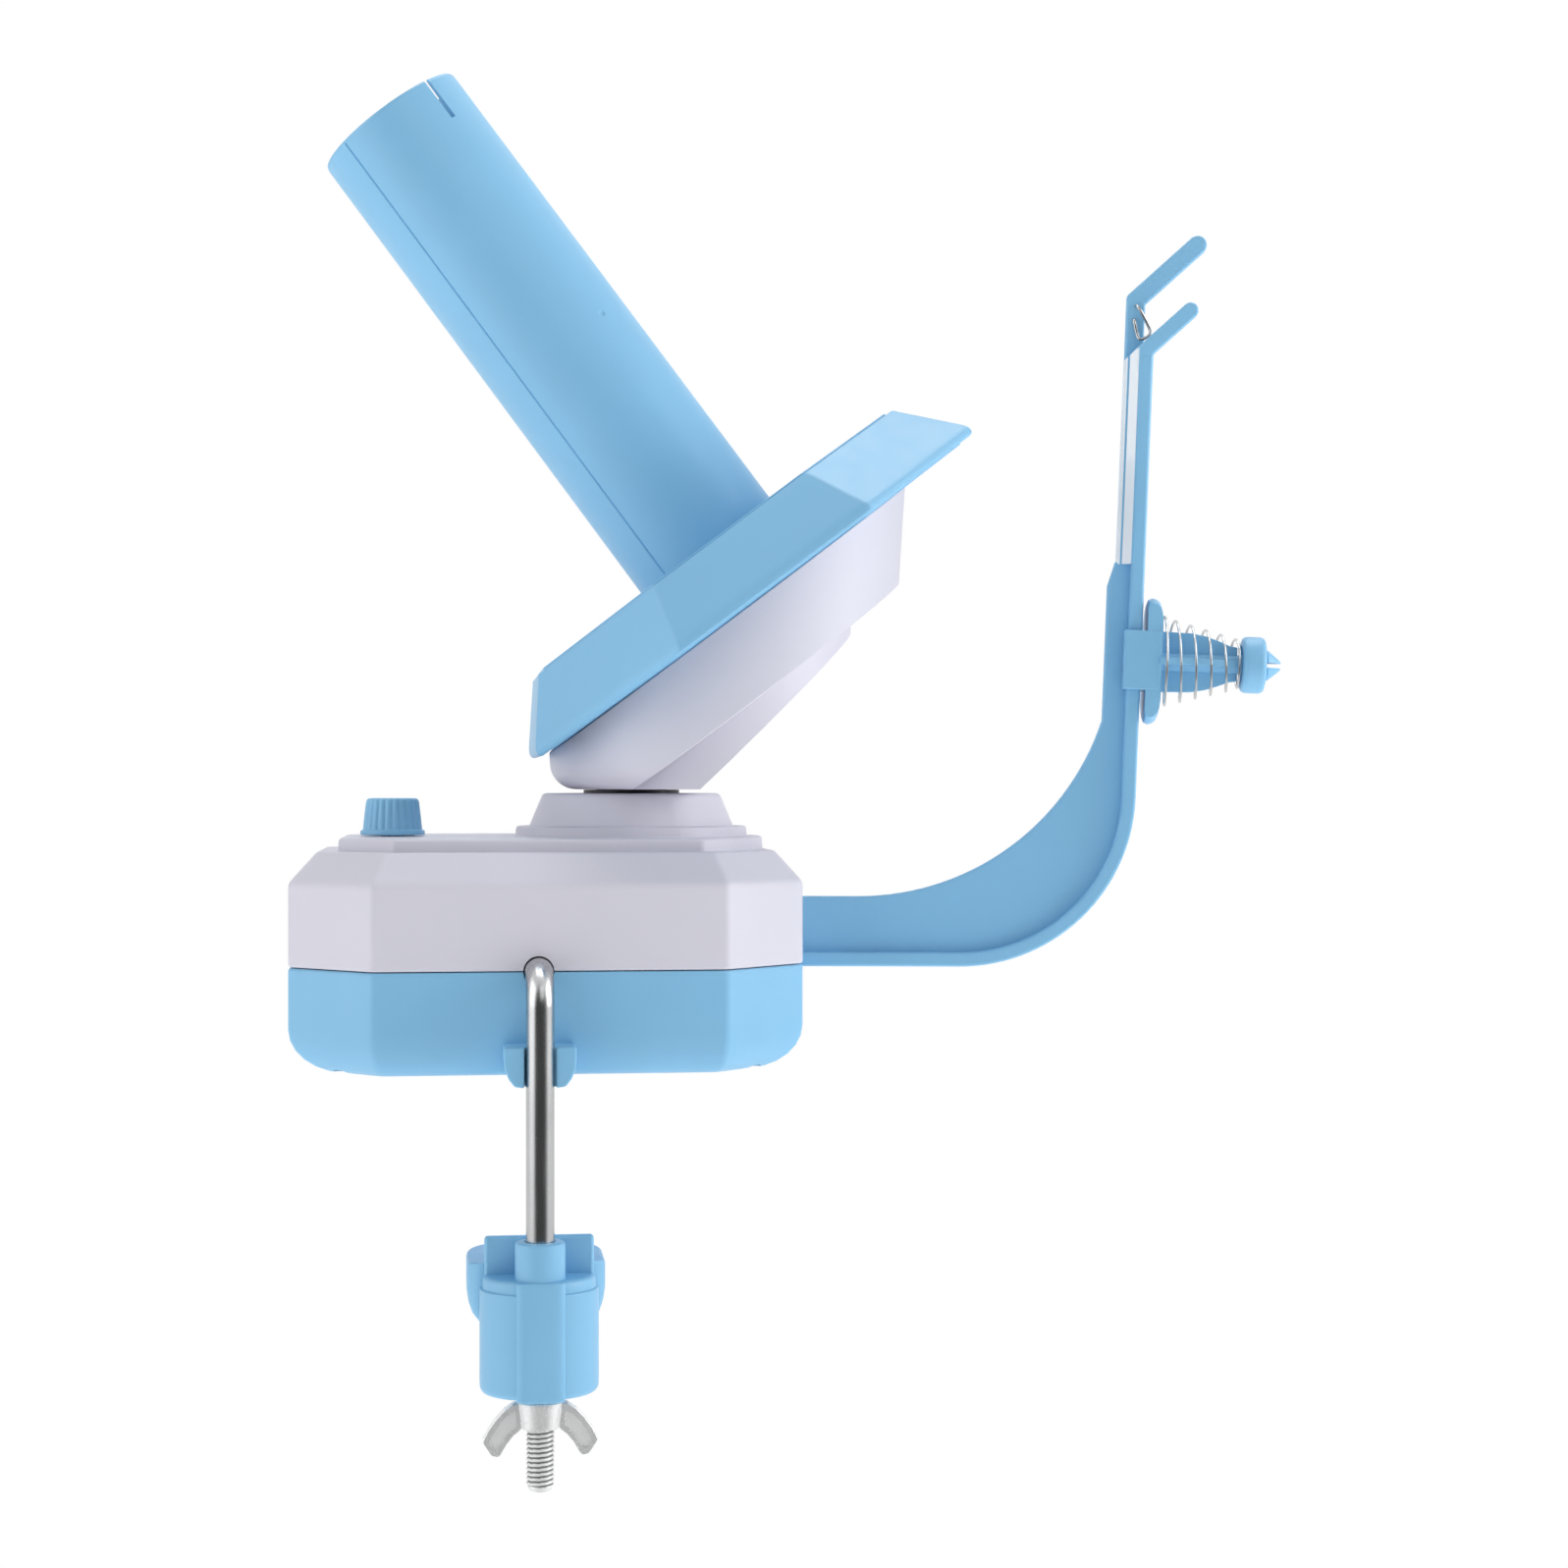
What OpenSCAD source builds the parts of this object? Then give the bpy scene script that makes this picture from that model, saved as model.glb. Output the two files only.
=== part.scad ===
// Electric yarn ball winder with a tilted spool, a guide arm and a table clamp.
// Sizes are in millimetres. X points to the guide arm, Y to the back and Z up.
// The origin lies on the head's turning axis, in the plane of the table top.

/* [Case] */
// Width of the case, left to right
case_w = 113; // [111:0.5:130]
// Depth of the case, front to back
case_d = 90; // [89:0.5:110]
// Corner chamfer of the case in plan
case_chamfer = 18.5; // [12:0.5:20]
// Distance from the head's axis left to the middle of the case
case_offset = 20; // [18:0.5:21]
// Height of the seam between the lower and the upper case
seam_z = 22.5; // [20:0.5:24]
// Height of the straight wall of the upper case
wall_h = 18.5; // [16:0.5:22]
// Height of the sloped band above the wall
slope_h = 6.7; // [5:0.1:8]
// How far the sloped band leans in
slope_inset = 7.2; // [5:0.1:9]
// Height of the raised deck above the sloped band
deck_h = 2.9; // [2:0.1:4]
// Inset of the raised deck from the case wall
deck_inset = 10.5; // [9:0.1:12]
// Rounding of the lower case's bottom edge
bottom_round = 9; // [6:0.5:10]
// Wall of the two case shells
wall = 2.2; // [1.8:0.1:2.6]
// Diameter of the screw posts
screw_post_d = 7.6; // [7:0.1:9]
// Thread diameter of the case screws
screw_d = 3; // [2.5:0.1:3.5]

/* [Collar] */
// Radius of the low round step on the deck
step_r = 30.3; // [28:0.1:33]
// Radius of the ring above the step
ring_r = 26.6; // [25:0.1:28]
// Height of the ring
ring_h = 2.3; // [1.5:0.1:3]
// Radius of the collar at its foot
collar_r = 23.4; // [22:0.1:25]
// Radius of the collar at its top
collar_top_r = 20.3; // [18:0.1:21.5]
// Height of the collar
collar_h = 7.5; // [6:0.1:9]
// Outer radius of the collar bush
bush_r = 10; // [9.5:0.1:11]
// Radius of the bush's flange, which carries the head
bush_flange_r = 11; // [11:0.1:12]
// Thickness of the bush's flange
bush_flange_t = 0.8; // [0.6:0.1:1.2]

/* [Speed knob] */
// Distance from the case's left wall to the knob
knob_x = 22; // [20:0.5:24]
// Diameter of the knob's foot
knob_d = 14.6; // [13.6:0.1:16]
// Diameter of the knob's top
knob_top_d = 11.6; // [10.5:0.1:13]
// Height of the knob
knob_h = 8.4; // [7.5:0.1:10]
// Height of the plain ring round the knob's foot
knob_ring_h = 1.1; // [0.8:0.1:1.6]
// Number of flutes round the knob
knob_flutes = 24; // [16:1:30]
// Diameter of the potentiometer's shaft
pot_shaft_d = 6; // [5:0.5:6.5]
// Diameter of the potentiometer's body
pot_d = 16; // [14:0.5:17]
// Height of the potentiometer's body
pot_h = 7.6; // [6:0.2:8]

/* [Head] */
// Tilt of the spool's axis from upright
head_tilt = 37; // [36:0.5:38]
// Height of the crossing of the two axes above the head's underside
cross_h = 79.1; // [78.5:0.1:80]
// Radius of the head's upper tier near its foot
head_r = 39; // [38.5:0.1:41]
// Draft of the upper tier's wall
head_draft = 3.6; // [2:0.1:4.5]
// Rounding of the upper tier's lower edge
head_round = 6.8; // [5:0.1:8]
// Distance of both tiers' middle from the head's axis
head_centre = 20.3; // [19.8:0.1:21]
// Depth of the upper tier along the spool's axis
head_depth = 17.2; // [16.5:0.1:18.5]
// Radius of the head's lower tier
base_r = 30.5; // [30:0.1:31.5]
// Slope of the lower tier's underside
base_slope = 44; // [43:0.5:45]
// Distance from the head's axis to the start of that slope
base_flat = 14.2; // [13.5:0.1:15]
// Wall of the head's shells
head_wall = 2.2; // [1.8:0.1:2.6]
// Radius of the head's hollow neck
neck_r = 8; // [7.5:0.1:8.4]
// Radius of the fixed centre post
post_r = 4; // [3.5:0.1:4.5]

/* [Spool] */
// Distance from the axes' crossing down to the flange's top
flange_top = 29.5; // [29:0.1:30]
// Depth of the flange along the spool's axis
flange_depth = 14.4; // [13.5:0.1:15]
// Width of the flange's top across its flats
flange_top_w = 100; // [96:1:104]
// Width of the flange's rim across its flats
flange_rim_w = 123; // [119:0.5:127]
// Wall of the flange
flange_wall = 2.4; // [2:0.1:3]
// Thickness of the raised seat on the flange's top
seat_t = 0.5; // [0.3:0.1:0.8]
// Outer radius of the spool tube at its foot
tube_r = 18.5; // [17.5:0.1:19.5]
// Outer radius of the spool tube at its tip
tube_tip_r = 17.9; // [17:0.1:19]
// Length of the spool tube
tube_len = 120.5; // [110:0.5:130]
// Wall of the spool tube
tube_wall = 2.1; // [1.8:0.1:2.6]
// Width of the yarn slit in the tube's tip
slit_w = 0.8; // [0.6:0.1:1.2]
// Length of the yarn slit
slit_len = 10; // [8:0.5:14]
// Radius of the steel spool axle
axle_r = 3; // [2.6:0.1:3.3]

/* [Gears] */
// Teeth of the fixed sun gear
sun_teeth = 17; // [17:1:17]
// Teeth of the spool's bevel gear
spool_teeth = 36; // [36:1:36]
// Module of the bevel pair at its large end
bevel_module = 1.4; // [1.35:0.01:1.44]
// Face width of the bevel pair
bevel_face = 6; // [5:0.1:6.4]
// Teeth of the head's driven gear
head_teeth = 60; // [57:1:60]
// Teeth of the small idler gear
idler_small_teeth = 16; // [15:1:17]
// Module of the slow gear pair
slow_module = 1; // [0.95:0.01:1.02]
// Teeth of the large idler gear
idler_large_teeth = 48; // [46:1:49]
// Teeth of the motor pinion
pinion_teeth = 12; // [12:1:14]
// Module of the fast gear pair
fast_module = 0.8; // [0.78:0.01:0.82]
// Thickness of the driven gear
head_gear_t = 5.5; // [5:0.1:6]
// Thickness of the large idler gear
idler_large_t = 4.5; // [4:0.1:5]
// Diameter of the idler's axle
idler_axle_d = 4; // [3:0.1:4.5]

/* [Motor] */
// Diameter of the motor's can
motor_d = 24.4; // [22:0.1:25]
// Length of the motor's can
motor_len = 24; // [20:0.5:24.5]
// Diameter of the motor's shaft
motor_shaft_d = 2.3; // [2:0.1:2.5]
// Thickness of the motor plate
motor_plate_t = 1.6; // [1.2:0.1:2]
// Distance of the plate's two screws from the motor's axis
motor_screw_reach = 17.5; // [17:0.1:18.5]

/* [Guide arm] */
// Clockwise turn of the arm's plane from the case's side
arm_turn = 10; // [6:0.5:12]
// Height of the arm's underside at the case
arm_z = 20.5; // [19:0.5:21.5]
// Height of the arm where it leaves the case
arm_root_h = 16; // [14:0.5:17]
// Straight run of the arm from the case to its bend
arm_run = 39.5; // [34:0.5:46]
// Outer radius of the arm's bend
arm_bend_r = 40.4; // [36:0.2:44]
// Outward lean of the upright
arm_lean = 2.3; // [1:0.1:4]
// Length of the upright above the bend
arm_upright = 101.6; // [94:0.2:112]
// Depth of the lower upright, from its outer face in
arm_upright_depth = 8.2; // [7:0.1:9]
// Height on the upright where the web steps back
arm_step = 49.6; // [46:0.2:56]
// Depth of the upper upright, from its outer face in
arm_top_depth = 6.5; // [5.5:0.1:7]
// Thickness of the outer band
arm_band_t = 3.2; // [2.6:0.1:3.6]
// Width of the outer band
arm_band_w = 10; // [8:0.5:11]
// Thickness of the web
arm_web_t = 3.4; // [2.6:0.1:4]
// Length of the tongue inside the case
arm_tongue = 13; // [10:0.5:13.5]
// Angle of the two guide fingers to the upright's foot plane
finger_angle = 44; // [40:0.5:48]
// Thickness of the guide fingers
finger_t = 3; // [2.4:0.1:3.2]
// Length of the lower guide finger past the bend
finger_len = 17; // [14:0.5:20]
// Height of the upper guide finger above the lower one
finger_rise = 13.8; // [13:0.1:15]
// Diameter of the guide wire
guide_wire_d = 0.9; // [0.8:0.05:1.1]

/* [Tension unit] */
// Height of the tension unit on the upright
tension_z = 31.6; // [27.6:0.2:33.6]
// Diameter of the tension disc
tension_disc_d = 29; // [26:0.5:31]
// Thickness of the tension disc
tension_disc_t = 3.5; // [2.8:0.1:4]
// Gap between the arm and the disc
tension_disc_gap = 1.1; // [0.8:0.1:1.5]
// Height of the clip that hugs the arm
clip_h = 14; // [12:0.5:15]
// Depth of the clip inward from the arm's outer face
clip_depth = 4.1; // [3.8:0.1:4.5]
// Wall of the clip beside the arm
clip_wall = 1.6; // [1.2:0.1:2]
// Length of the ribbed post past the disc
tension_post_len = 17.6; // [16:0.2:19]
// Radius of the ribbed post at the disc
tension_post_r = 7; // [6.5:0.1:7.5]
// Radius of the ribbed post at its end
tension_end_r = 4.1; // [3.7:0.1:4.3]
// Thickness of the post's ribs
tension_rib_t = 1.6; // [1.4:0.1:2]
// Diameter of the tension cap
tension_cap_d = 13; // [12.4:0.1:14]
// Length of the tension cap
tension_cap_len = 5.4; // [5:0.1:6]
// Travel of the cap along the post
tension_travel = 2.5; // [1.5:0.1:2.6]
// Length of the split arrow tip
tension_tip_len = 3.7; // [3.2:0.1:4.5]
// Wire of the tension spring
spring_wire_d = 0.6; // [0.5:0.05:0.8]
// Outer diameter of the spring at the disc
spring_big_d = 22; // [20:0.5:24]
// Outer diameter of the spring at the cap
spring_small_d = 10.8; // [10.4:0.1:11.2]
// Curls of the tension spring
spring_curls = 6; // [4:0.5:8]

/* [Clamp] */
// Diameter of the clamp rod
rod_d = 6; // [5.5:0.1:6.4]
// Distance from the head's axis left to the rod
rod_x = 22.7; // [21:0.1:24]
// Distance of the rod in front of the case
rod_reach = 9; // [8:0.1:11]
// Middle radius of the rod's bend
rod_bend_r = 7; // [5.5:0.1:7.5]
// Depth of the rod's end below the table top
rod_drop = 85.6; // [80:0.2:95]
// Length of the rod inside the case
rod_inside = 34; // [30:0.5:35]
// Pitch of the rod's thread
thread_pitch = 1; // [0.9:0.05:1.1]
// Length of the rod's thread
thread_len = 37; // [33:1:40]
// Depth of the jaw face below the table top
jaw_drop = 39.2; // [37:0.2:42]
// Upward travel of the jaw
jaw_travel = 20; // [14:1:22]
// Width of the jaw
jaw_w = 29.6; // [27:0.2:32]
// Reach of the jaw under the table
jaw_reach = 30; // [24:0.5:34]
// Thickness of the jaw at its root
jaw_t = 10; // [8:0.2:12]
// Radius of the clamp block's round front
block_r = 12.6; // [11:0.1:14]
// Depth of the clamp's block in front of the rod's middle
block_depth = 7.4; // [7:0.1:11]
// Height of the clamp block's round front
block_h = 23.7; // [21:0.1:26]
// Radius of the clamp block's sleeve round the rod
sleeve_r = 5.3; // [5:0.1:6]
// Height of the block's back plate above the jaw face
back_plate_h = 5; // [4:0.1:7]
// Diameter of the wing nut's hub
nut_hub_d = 10; // [9:0.1:11]
// Height of the wing nut's hub
nut_h = 6; // [5.5:0.1:7]
// Clearance of the wing nut's bore over the thread's crests
nut_gap = 0.4; // [0.3:0.05:0.5]
// Span of the wing nut
nut_span = 24.2; // [22:0.1:27]

/* [Clearances] */
// Radial clearance of a running fit
run_gap = 0.06; // [0.04:0.01:0.09]
// Radial clearance of a seated piece
fit_gap = 0.03; // [0.02:0.01:0.06]
// Clearance between faces that pass each other
free_gap = 0.3; // [0.2:0.05:0.4]

/* [Hidden] */
$fn = 64;

// Colours of the mouldings and metals
blue = [0.56, 0.78, 0.93];
pale = [0.85, 0.84, 0.89];
steel = [0.72, 0.73, 0.75];
dark = [0.16, 0.16, 0.18];
nylon = [0.93, 0.92, 0.86];
brass = [0.80, 0.66, 0.36];

// Anything longer than the object, for cutting
far = 400;
overcut = 1;

// Levels of the case, from the table top up
break_z = seam_z + wall_h;
ledge_z = break_z + slope_h;
deck_z = ledge_z + deck_h;
deck_under = deck_z - wall;
collar_z = deck_z + ring_h;
collar_top = collar_z + collar_h;
head_z = collar_top + bush_flange_t + 0.1;
floor_z = wall;
case_front = -case_d / 2;
case_left = -case_offset - case_w / 2;
case_right = -case_offset + case_w / 2;
knob_at = case_left + knob_x;
screw_inset_x = 13.3;
screw_inset_y = 14.5;
screw_spots = [for (sx = [-1, 1], sy = [-1, 1])
    [-case_offset + sx * (case_w / 2 - screw_inset_x), sy * (case_d / 2 - screw_inset_y)]];
screw_head_d = 2 * screw_d;
screw_recess = 8;

// Levels of the gear train, from the deck down
head_gear_top = deck_under - 6.4;
head_gear_z = head_gear_top - head_gear_t;
idler_top = head_gear_top + 0.5;
idler_boss_h = deck_under - idler_top - free_gap;
idler_large_z = head_gear_z - 1 - idler_large_t;
head_gear_r = slow_module * head_teeth / 2;
idler_small_r = slow_module * idler_small_teeth / 2;
idler_large_r = fast_module * idler_large_teeth / 2;
pinion_r = fast_module * pinion_teeth / 2;
idler_inset = 23.75;
motor_inset = 29.8;
idler_angle = 180 - asin((case_d / 2 - idler_inset) / (head_gear_r + idler_small_r));
motor_angle = 180 - asin((idler_inset - motor_inset) / (idler_large_r + pinion_r));
idler_at = (head_gear_r + idler_small_r) * [cos(idler_angle), sin(idler_angle)];
motor_at = idler_at + (idler_large_r + pinion_r) * [cos(motor_angle), sin(motor_angle)];
motor_screw_angle = 70;
motor_plate_top = idler_large_z - 2;
motor_top = motor_plate_top - motor_plate_t;
bush_foot = deck_under - 4.4;
neck_foot = head_gear_z - 2;
neck_ring_t = 1;

// Depth of the two bevel cones under the axes' crossing
cross_z = head_z + cross_h;
sun_r = bevel_module * sun_teeth / 2;
spool_gear_r = bevel_module * spool_teeth / 2;
sun_cone = atan(sin(head_tilt) / (spool_teeth / sun_teeth + cos(head_tilt)));
spool_cone = head_tilt - sun_cone;
cone_len = sun_r / sin(sun_cone);
cone_shrink = (cone_len - bevel_face) / cone_len;
sun_z = cross_z - cone_len * cos(sun_cone);
sun_h = bevel_face * cos(sun_cone);
sun_hub_h = 5;
spool_gear_s = cone_len * cos(spool_cone);
spool_gear_h = bevel_face * cos(spool_cone);
post_top = sun_z + sun_h;
post_seat_z = floor_z + 1;
post_boss_h = 12;

// Levels along the spool's axis, down from the axes' crossing
flange_rim = flange_top + flange_depth;
head_top = flange_rim + 1.2;
head_crease = head_top + head_depth;
hub_r = 10;
hub_nose_r = 8;
hub_shoulder = spool_gear_s - spool_gear_h - 1;
hub_end = spool_gear_s + 1;
spool_foot = flange_top - seat_t;
tube_tip = spool_foot - tube_len;
lower_bush_top = flange_top + flange_wall + 8;
upper_bush_foot = -2;
upper_bush_top = -12;
bush_wall = 2;
axle_boss_r = 7.5;
axle_boss_top = hub_end + 1.5;
axle_foot = head_crease + 3;
axle_top = upper_bush_top - 4;
clip_t = 1;
spool_screw_r = 12.4;

// The arm's own plane stands on the case's right side
arm_bend_z = arm_z + arm_bend_r;
upright_s = arm_run + arm_bend_r * cos(arm_lean);
upright_z = arm_bend_z - arm_bend_r * sin(arm_lean);
arm_root_top = arm_z + arm_root_h;
arm_inner_r = 59;
arm_inner_s = 16.3;
inner_z = arm_root_top + arm_inner_r;
inner_side = (arm_inner_s - upright_s) * cos(arm_lean) - (inner_z - upright_z) * sin(arm_lean);
inner_up = (arm_inner_s - upright_s) * sin(arm_lean) + (inner_z - upright_z) * cos(arm_lean);
web_foot = inner_up - sqrt(arm_inner_r * arm_inner_r - pow(arm_upright_depth + inner_side, 2));
tongue_h = 11;
tongue_w = 8;
socket_wall = 2.5;
post_x0 = tension_disc_gap + tension_disc_t;
post_x1 = post_x0 + tension_post_len;
cap_x0 = post_x1 + 0.9;
cap_x1 = cap_x0 + tension_cap_len;
tip_x1 = cap_x1 + tension_tip_len;
cap_wall = 1.5;
tip_neck_r = 2.2;
tip_r = 3.5;
spring_x0 = post_x0 + 0.15 + spring_wire_d / 2;
spring_x1 = cap_x0 - 0.15 - spring_wire_d / 2;

// Places of the clamp
rod_r = rod_d / 2;
rod_y = case_front - rod_reach;
block_top = -jaw_drop - 2.1;
sleeve_top = -jaw_drop + 5.8;
sleeve_foot = block_top - block_h - 1.4;
back_plate_t = 2.6;
back_plate_y = case_front - 0.5;
nut_top = sleeve_foot - 0.1;

// Board and inlet
board_t = 1.6;
board_size = [28, 25];
board_at = [case_left + 18.5, case_front + 7.5];
board_z = floor_z + 5;
inlet_x = -8;
inlet_z = 15;
inlet_r = 4;

// Angle that brings gear two, lying at angle phi from gear one, into mesh
function mesh_phase(phi, phase_one, teeth_one, teeth_two) =
    phi + 180 - 180 / teeth_two + (phi - phase_one) * teeth_one / teeth_two;
idler_phase = mesh_phase(idler_angle, 0, head_teeth, idler_small_teeth);
pinion_phase = mesh_phase(motor_angle, 0, idler_large_teeth, pinion_teeth);
spool_gear_phase = 180 - 180 / spool_teeth;

// Outline of a gear with straight-flanked teeth, made slim for backlash
module gear_outline(mod, teeth) {
    pitch_r = mod * teeth / 2;
    step = 360 / teeth;
    tip_r = pitch_r + 0.85 * mod;
    root_r = pitch_r - 1.25 * mod;
    root_half = 0.29 * step;
    tip_half = 0.09 * step;
    polygon([for (i = [0 : teeth - 1], p = [[root_r, -root_half], [tip_r, -tip_half], [tip_r, tip_half],
        [root_r, root_half]]) p[0] * [cos(i * step + p[1]), sin(i * step + p[1])]]);
}

// Places children on the spool's axis, at a distance below the axes' crossing
module on_spool(s = 0) {
    translate([0, 0, cross_z]) rotate([0, -head_tilt, 0]) translate([0, 0, -s]) children();
}

// Everything above the plane that crosses the spool's axis at a distance
module above_spool_plane(s) {
    on_spool(s) translate([-far / 2, -far / 2, 0]) cube(far);
}

// Everything above the lower tier's sloping underside, raised by a wall
module above_underside(lift) {
    translate([base_flat, 0, head_z]) rotate([0, -base_slope, 0])
        translate([-far / 2, -far / 2, lift]) cube(far);
}

// Places children in the arm's plane: X runs out from the case, Z up
module on_arm() {
    translate([case_right, 0, 0]) rotate([0, 0, -arm_turn]) children();
}

// Places children on the upright: X runs out of its outer face, Z up along it
module on_upright() {
    on_arm() translate([upright_s, 0, upright_z]) rotate([0, arm_lean, 0]) children();
}

// Turns a drawing in X and Z into a plate centred on Y
module plate_xz(t) {
    rotate([90, 0, 0]) linear_extrude(t, center = true) children();
}

// Half the width of the case across each pair of its eight sides
function case_half(side, inset) =
    (side == 0 ? case_w / 2 : side == 2 ? case_d / 2 : (case_w / 2 + case_d / 2 - case_chamfer) / sqrt(2)) - inset;

// Cross-section of the lower case with its rounded bottom edge
module lower_profile(half, foot, r) {
    translate([-half, foot + r]) square([2 * half, seam_z - foot - r]);
    translate([r - half, foot]) square([2 * (half - r), seam_z - foot]);
    for (s = [-1, 1]) translate([s * (half - r), foot + r]) circle(r);
}

// Cross-section of the upper case with its sloped band
module upper_profile(half, lift) {
    polygon([[-half, seam_z - lift], [half, seam_z - lift], [half, break_z - lift / 2],
        [half - slope_inset, ledge_z - lift], [slope_inset - half, ledge_z - lift], [-half, break_z - lift / 2]]);
}

module lower_form(inset, foot) {
    translate([-case_offset, 0, 0]) intersection_for (side = [0 : 3])
        rotate([0, 0, 45 * side]) plate_xz(far)
            lower_profile(case_half(side, inset), foot, bottom_round - foot);
}

module upper_form(inset) {
    translate([-case_offset, 0, 0]) intersection_for (side = [0 : 3])
        rotate([0, 0, 45 * side]) plate_xz(far) upper_profile(case_half(side, inset), inset);
}

// Eight-sided block that follows the case's plan
module plan_block(inset, z0, z1) {
    half_w = case_w / 2 - inset;
    half_d = case_d / 2 - inset;
    cut = case_chamfer - inset * (2 - sqrt(2));
    translate([-case_offset, 0, z0]) linear_extrude(z1 - z0)
        polygon([[cut - half_w, -half_d], [half_w - cut, -half_d], [half_w, cut - half_d], [half_w, half_d - cut],
            [half_w - cut, half_d], [cut - half_w, half_d], [-half_w, half_d - cut], [-half_w, cut - half_d]]);
}

// Path of the rod's upper leg, used for the rod, its saddles and its notches
module rod_leg(r) {
    translate([-rod_x, case_front + rod_inside, seam_z]) rotate([90, 0, 0])
        cylinder(h = rod_inside + rod_reach - rod_bend_r, r = r);
}

// Tongue of the arm and the slot that takes it
module arm_tongue_block(gap) {
    translate([-arm_tongue - gap, -tongue_w / 2 - gap, arm_z - gap])
        cube([arm_tongue + gap + overcut, tongue_w + 2 * gap, tongue_h + 2 * gap]);
}

// Passage of the arm through the case's side
module arm_passage() {
    on_arm() {
        translate([-10, -arm_band_w / 2 - 0.2, arm_z - 0.1]) cube([25, arm_band_w + 0.4, arm_root_h + 0.3]);
    }
}

module lower_case() {
    color(blue) difference() {
        union() {
            difference() {
                lower_form(0, 0);
                lower_form(wall, floor_z);
                rod_leg(rod_r + free_gap);
                arm_passage();
                for (p = screw_spots) translate([p[0], p[1], -overcut]) cylinder(h = far, d = screw_head_d + 1);
                translate([inlet_x, case_d / 2, inlet_z]) rotate([90, 0, 0])
                    cylinder(h = 3 * wall, r = inlet_r + fit_gap, center = true);
            }
            intersection() {
                for (p = screw_spots) translate([p[0], p[1], 0]) cylinder(h = seam_z, d = screw_post_d);
                lower_form(0, 0);
            }
            cylinder(h = floor_z + post_boss_h, r = 2 * post_r);
            translate([idler_at[0], idler_at[1], floor_z / 2])
                cylinder(h = idler_large_z - free_gap - floor_z / 2, r = idler_axle_d);
            for (s = [-1, 1]) translate([motor_at[0], motor_at[1], floor_z / 2]) rotate([0, 0, motor_screw_angle])
                translate([s * motor_screw_reach, 0, 0]) cylinder(h = motor_top - floor_z / 2, r = 3.2);
            for (x = [3, board_size[0] - 3], y = [3, board_size[1] - 3])
                translate([board_at[0] + x, board_at[1] + y, floor_z / 2]) cylinder(h = board_z - floor_z / 2, r = 2.5);
            for (y = [3, rod_inside - 6]) translate([-rod_x - rod_d, case_front + y, floor_z / 2])
                cube([2 * rod_d, 4, seam_z - floor_z / 2]);
            on_arm() translate([-arm_tongue - socket_wall, -tongue_w / 2 - socket_wall, floor_z / 2])
                cube([arm_tongue - 1.3, tongue_w + 2 * socket_wall, arm_z + tongue_h - floor_z / 2]);
            rod_guide();
        }
        for (p = screw_spots) translate([p[0], p[1], 0]) {
            translate([0, 0, -overcut]) cylinder(h = screw_recess + overcut, d = screw_head_d + 0.6);
            cylinder(h = far, d = screw_d + 0.4);
        }
        translate([0, 0, post_seat_z]) cylinder(h = far, r = post_r + fit_gap);
        translate([idler_at[0], idler_at[1], seam_z - 4]) cylinder(h = far, r = idler_axle_d / 2 + fit_gap);
        for (s = [-1, 1]) translate([motor_at[0], motor_at[1], motor_top - 10]) rotate([0, 0, motor_screw_angle])
            translate([s * motor_screw_reach, 0, 0]) cylinder(h = far, r = 1.25);
        rod_leg(rod_r + fit_gap);
        on_arm() arm_tongue_block(0.1);
        for (p = pad_spots) translate([p[0], p[1], -overcut]) cylinder(h = pad_t + overcut, d = pad_d + 2 * fit_gap);
    }
}

// Fork under the front edge that keeps the rod upright
guide_w = 15.6;
guide_h = 8.6;
guide_drop = 1;
module rod_guide() {
    difference() {
        translate([-rod_x, case_front + 1, guide_h / 2 - guide_drop]) rotate([90, 0, 0])
            linear_extrude(rod_reach + 2) difference() {
                union() {
                    translate([-guide_w / 2, 0]) square([guide_w, guide_h / 2]);
                    intersection() {
                        translate([0, 0]) scale([1, 1]) circle(d = guide_w);
                        translate([-guide_w / 2, -guide_h / 2]) square([guide_w, guide_h]);
                    }
                }
            }
        translate([-rod_x - rod_r - free_gap, rod_y - 5, -5]) cube([rod_d + 2 * free_gap, 5, 20]);
        translate([-rod_x, rod_y, -5]) cylinder(h = 20, r = rod_r + free_gap);
    }
}

// Flush rubber pads in the corners of the underside
pad_d = 9;
pad_t = 1.5;
pad_spots = [for (sx = [-1, 1], sy = [-1, 1])
    [-case_offset + sx * (case_w / 2 - case_chamfer - 4), sy * (case_d / 2 - bottom_round - pad_d / 2 - 1)]];

module foot_pads() {
    color(dark) for (p = pad_spots) translate([p[0], p[1], 0]) cylinder(h = pad_t, d = pad_d);
}

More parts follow.
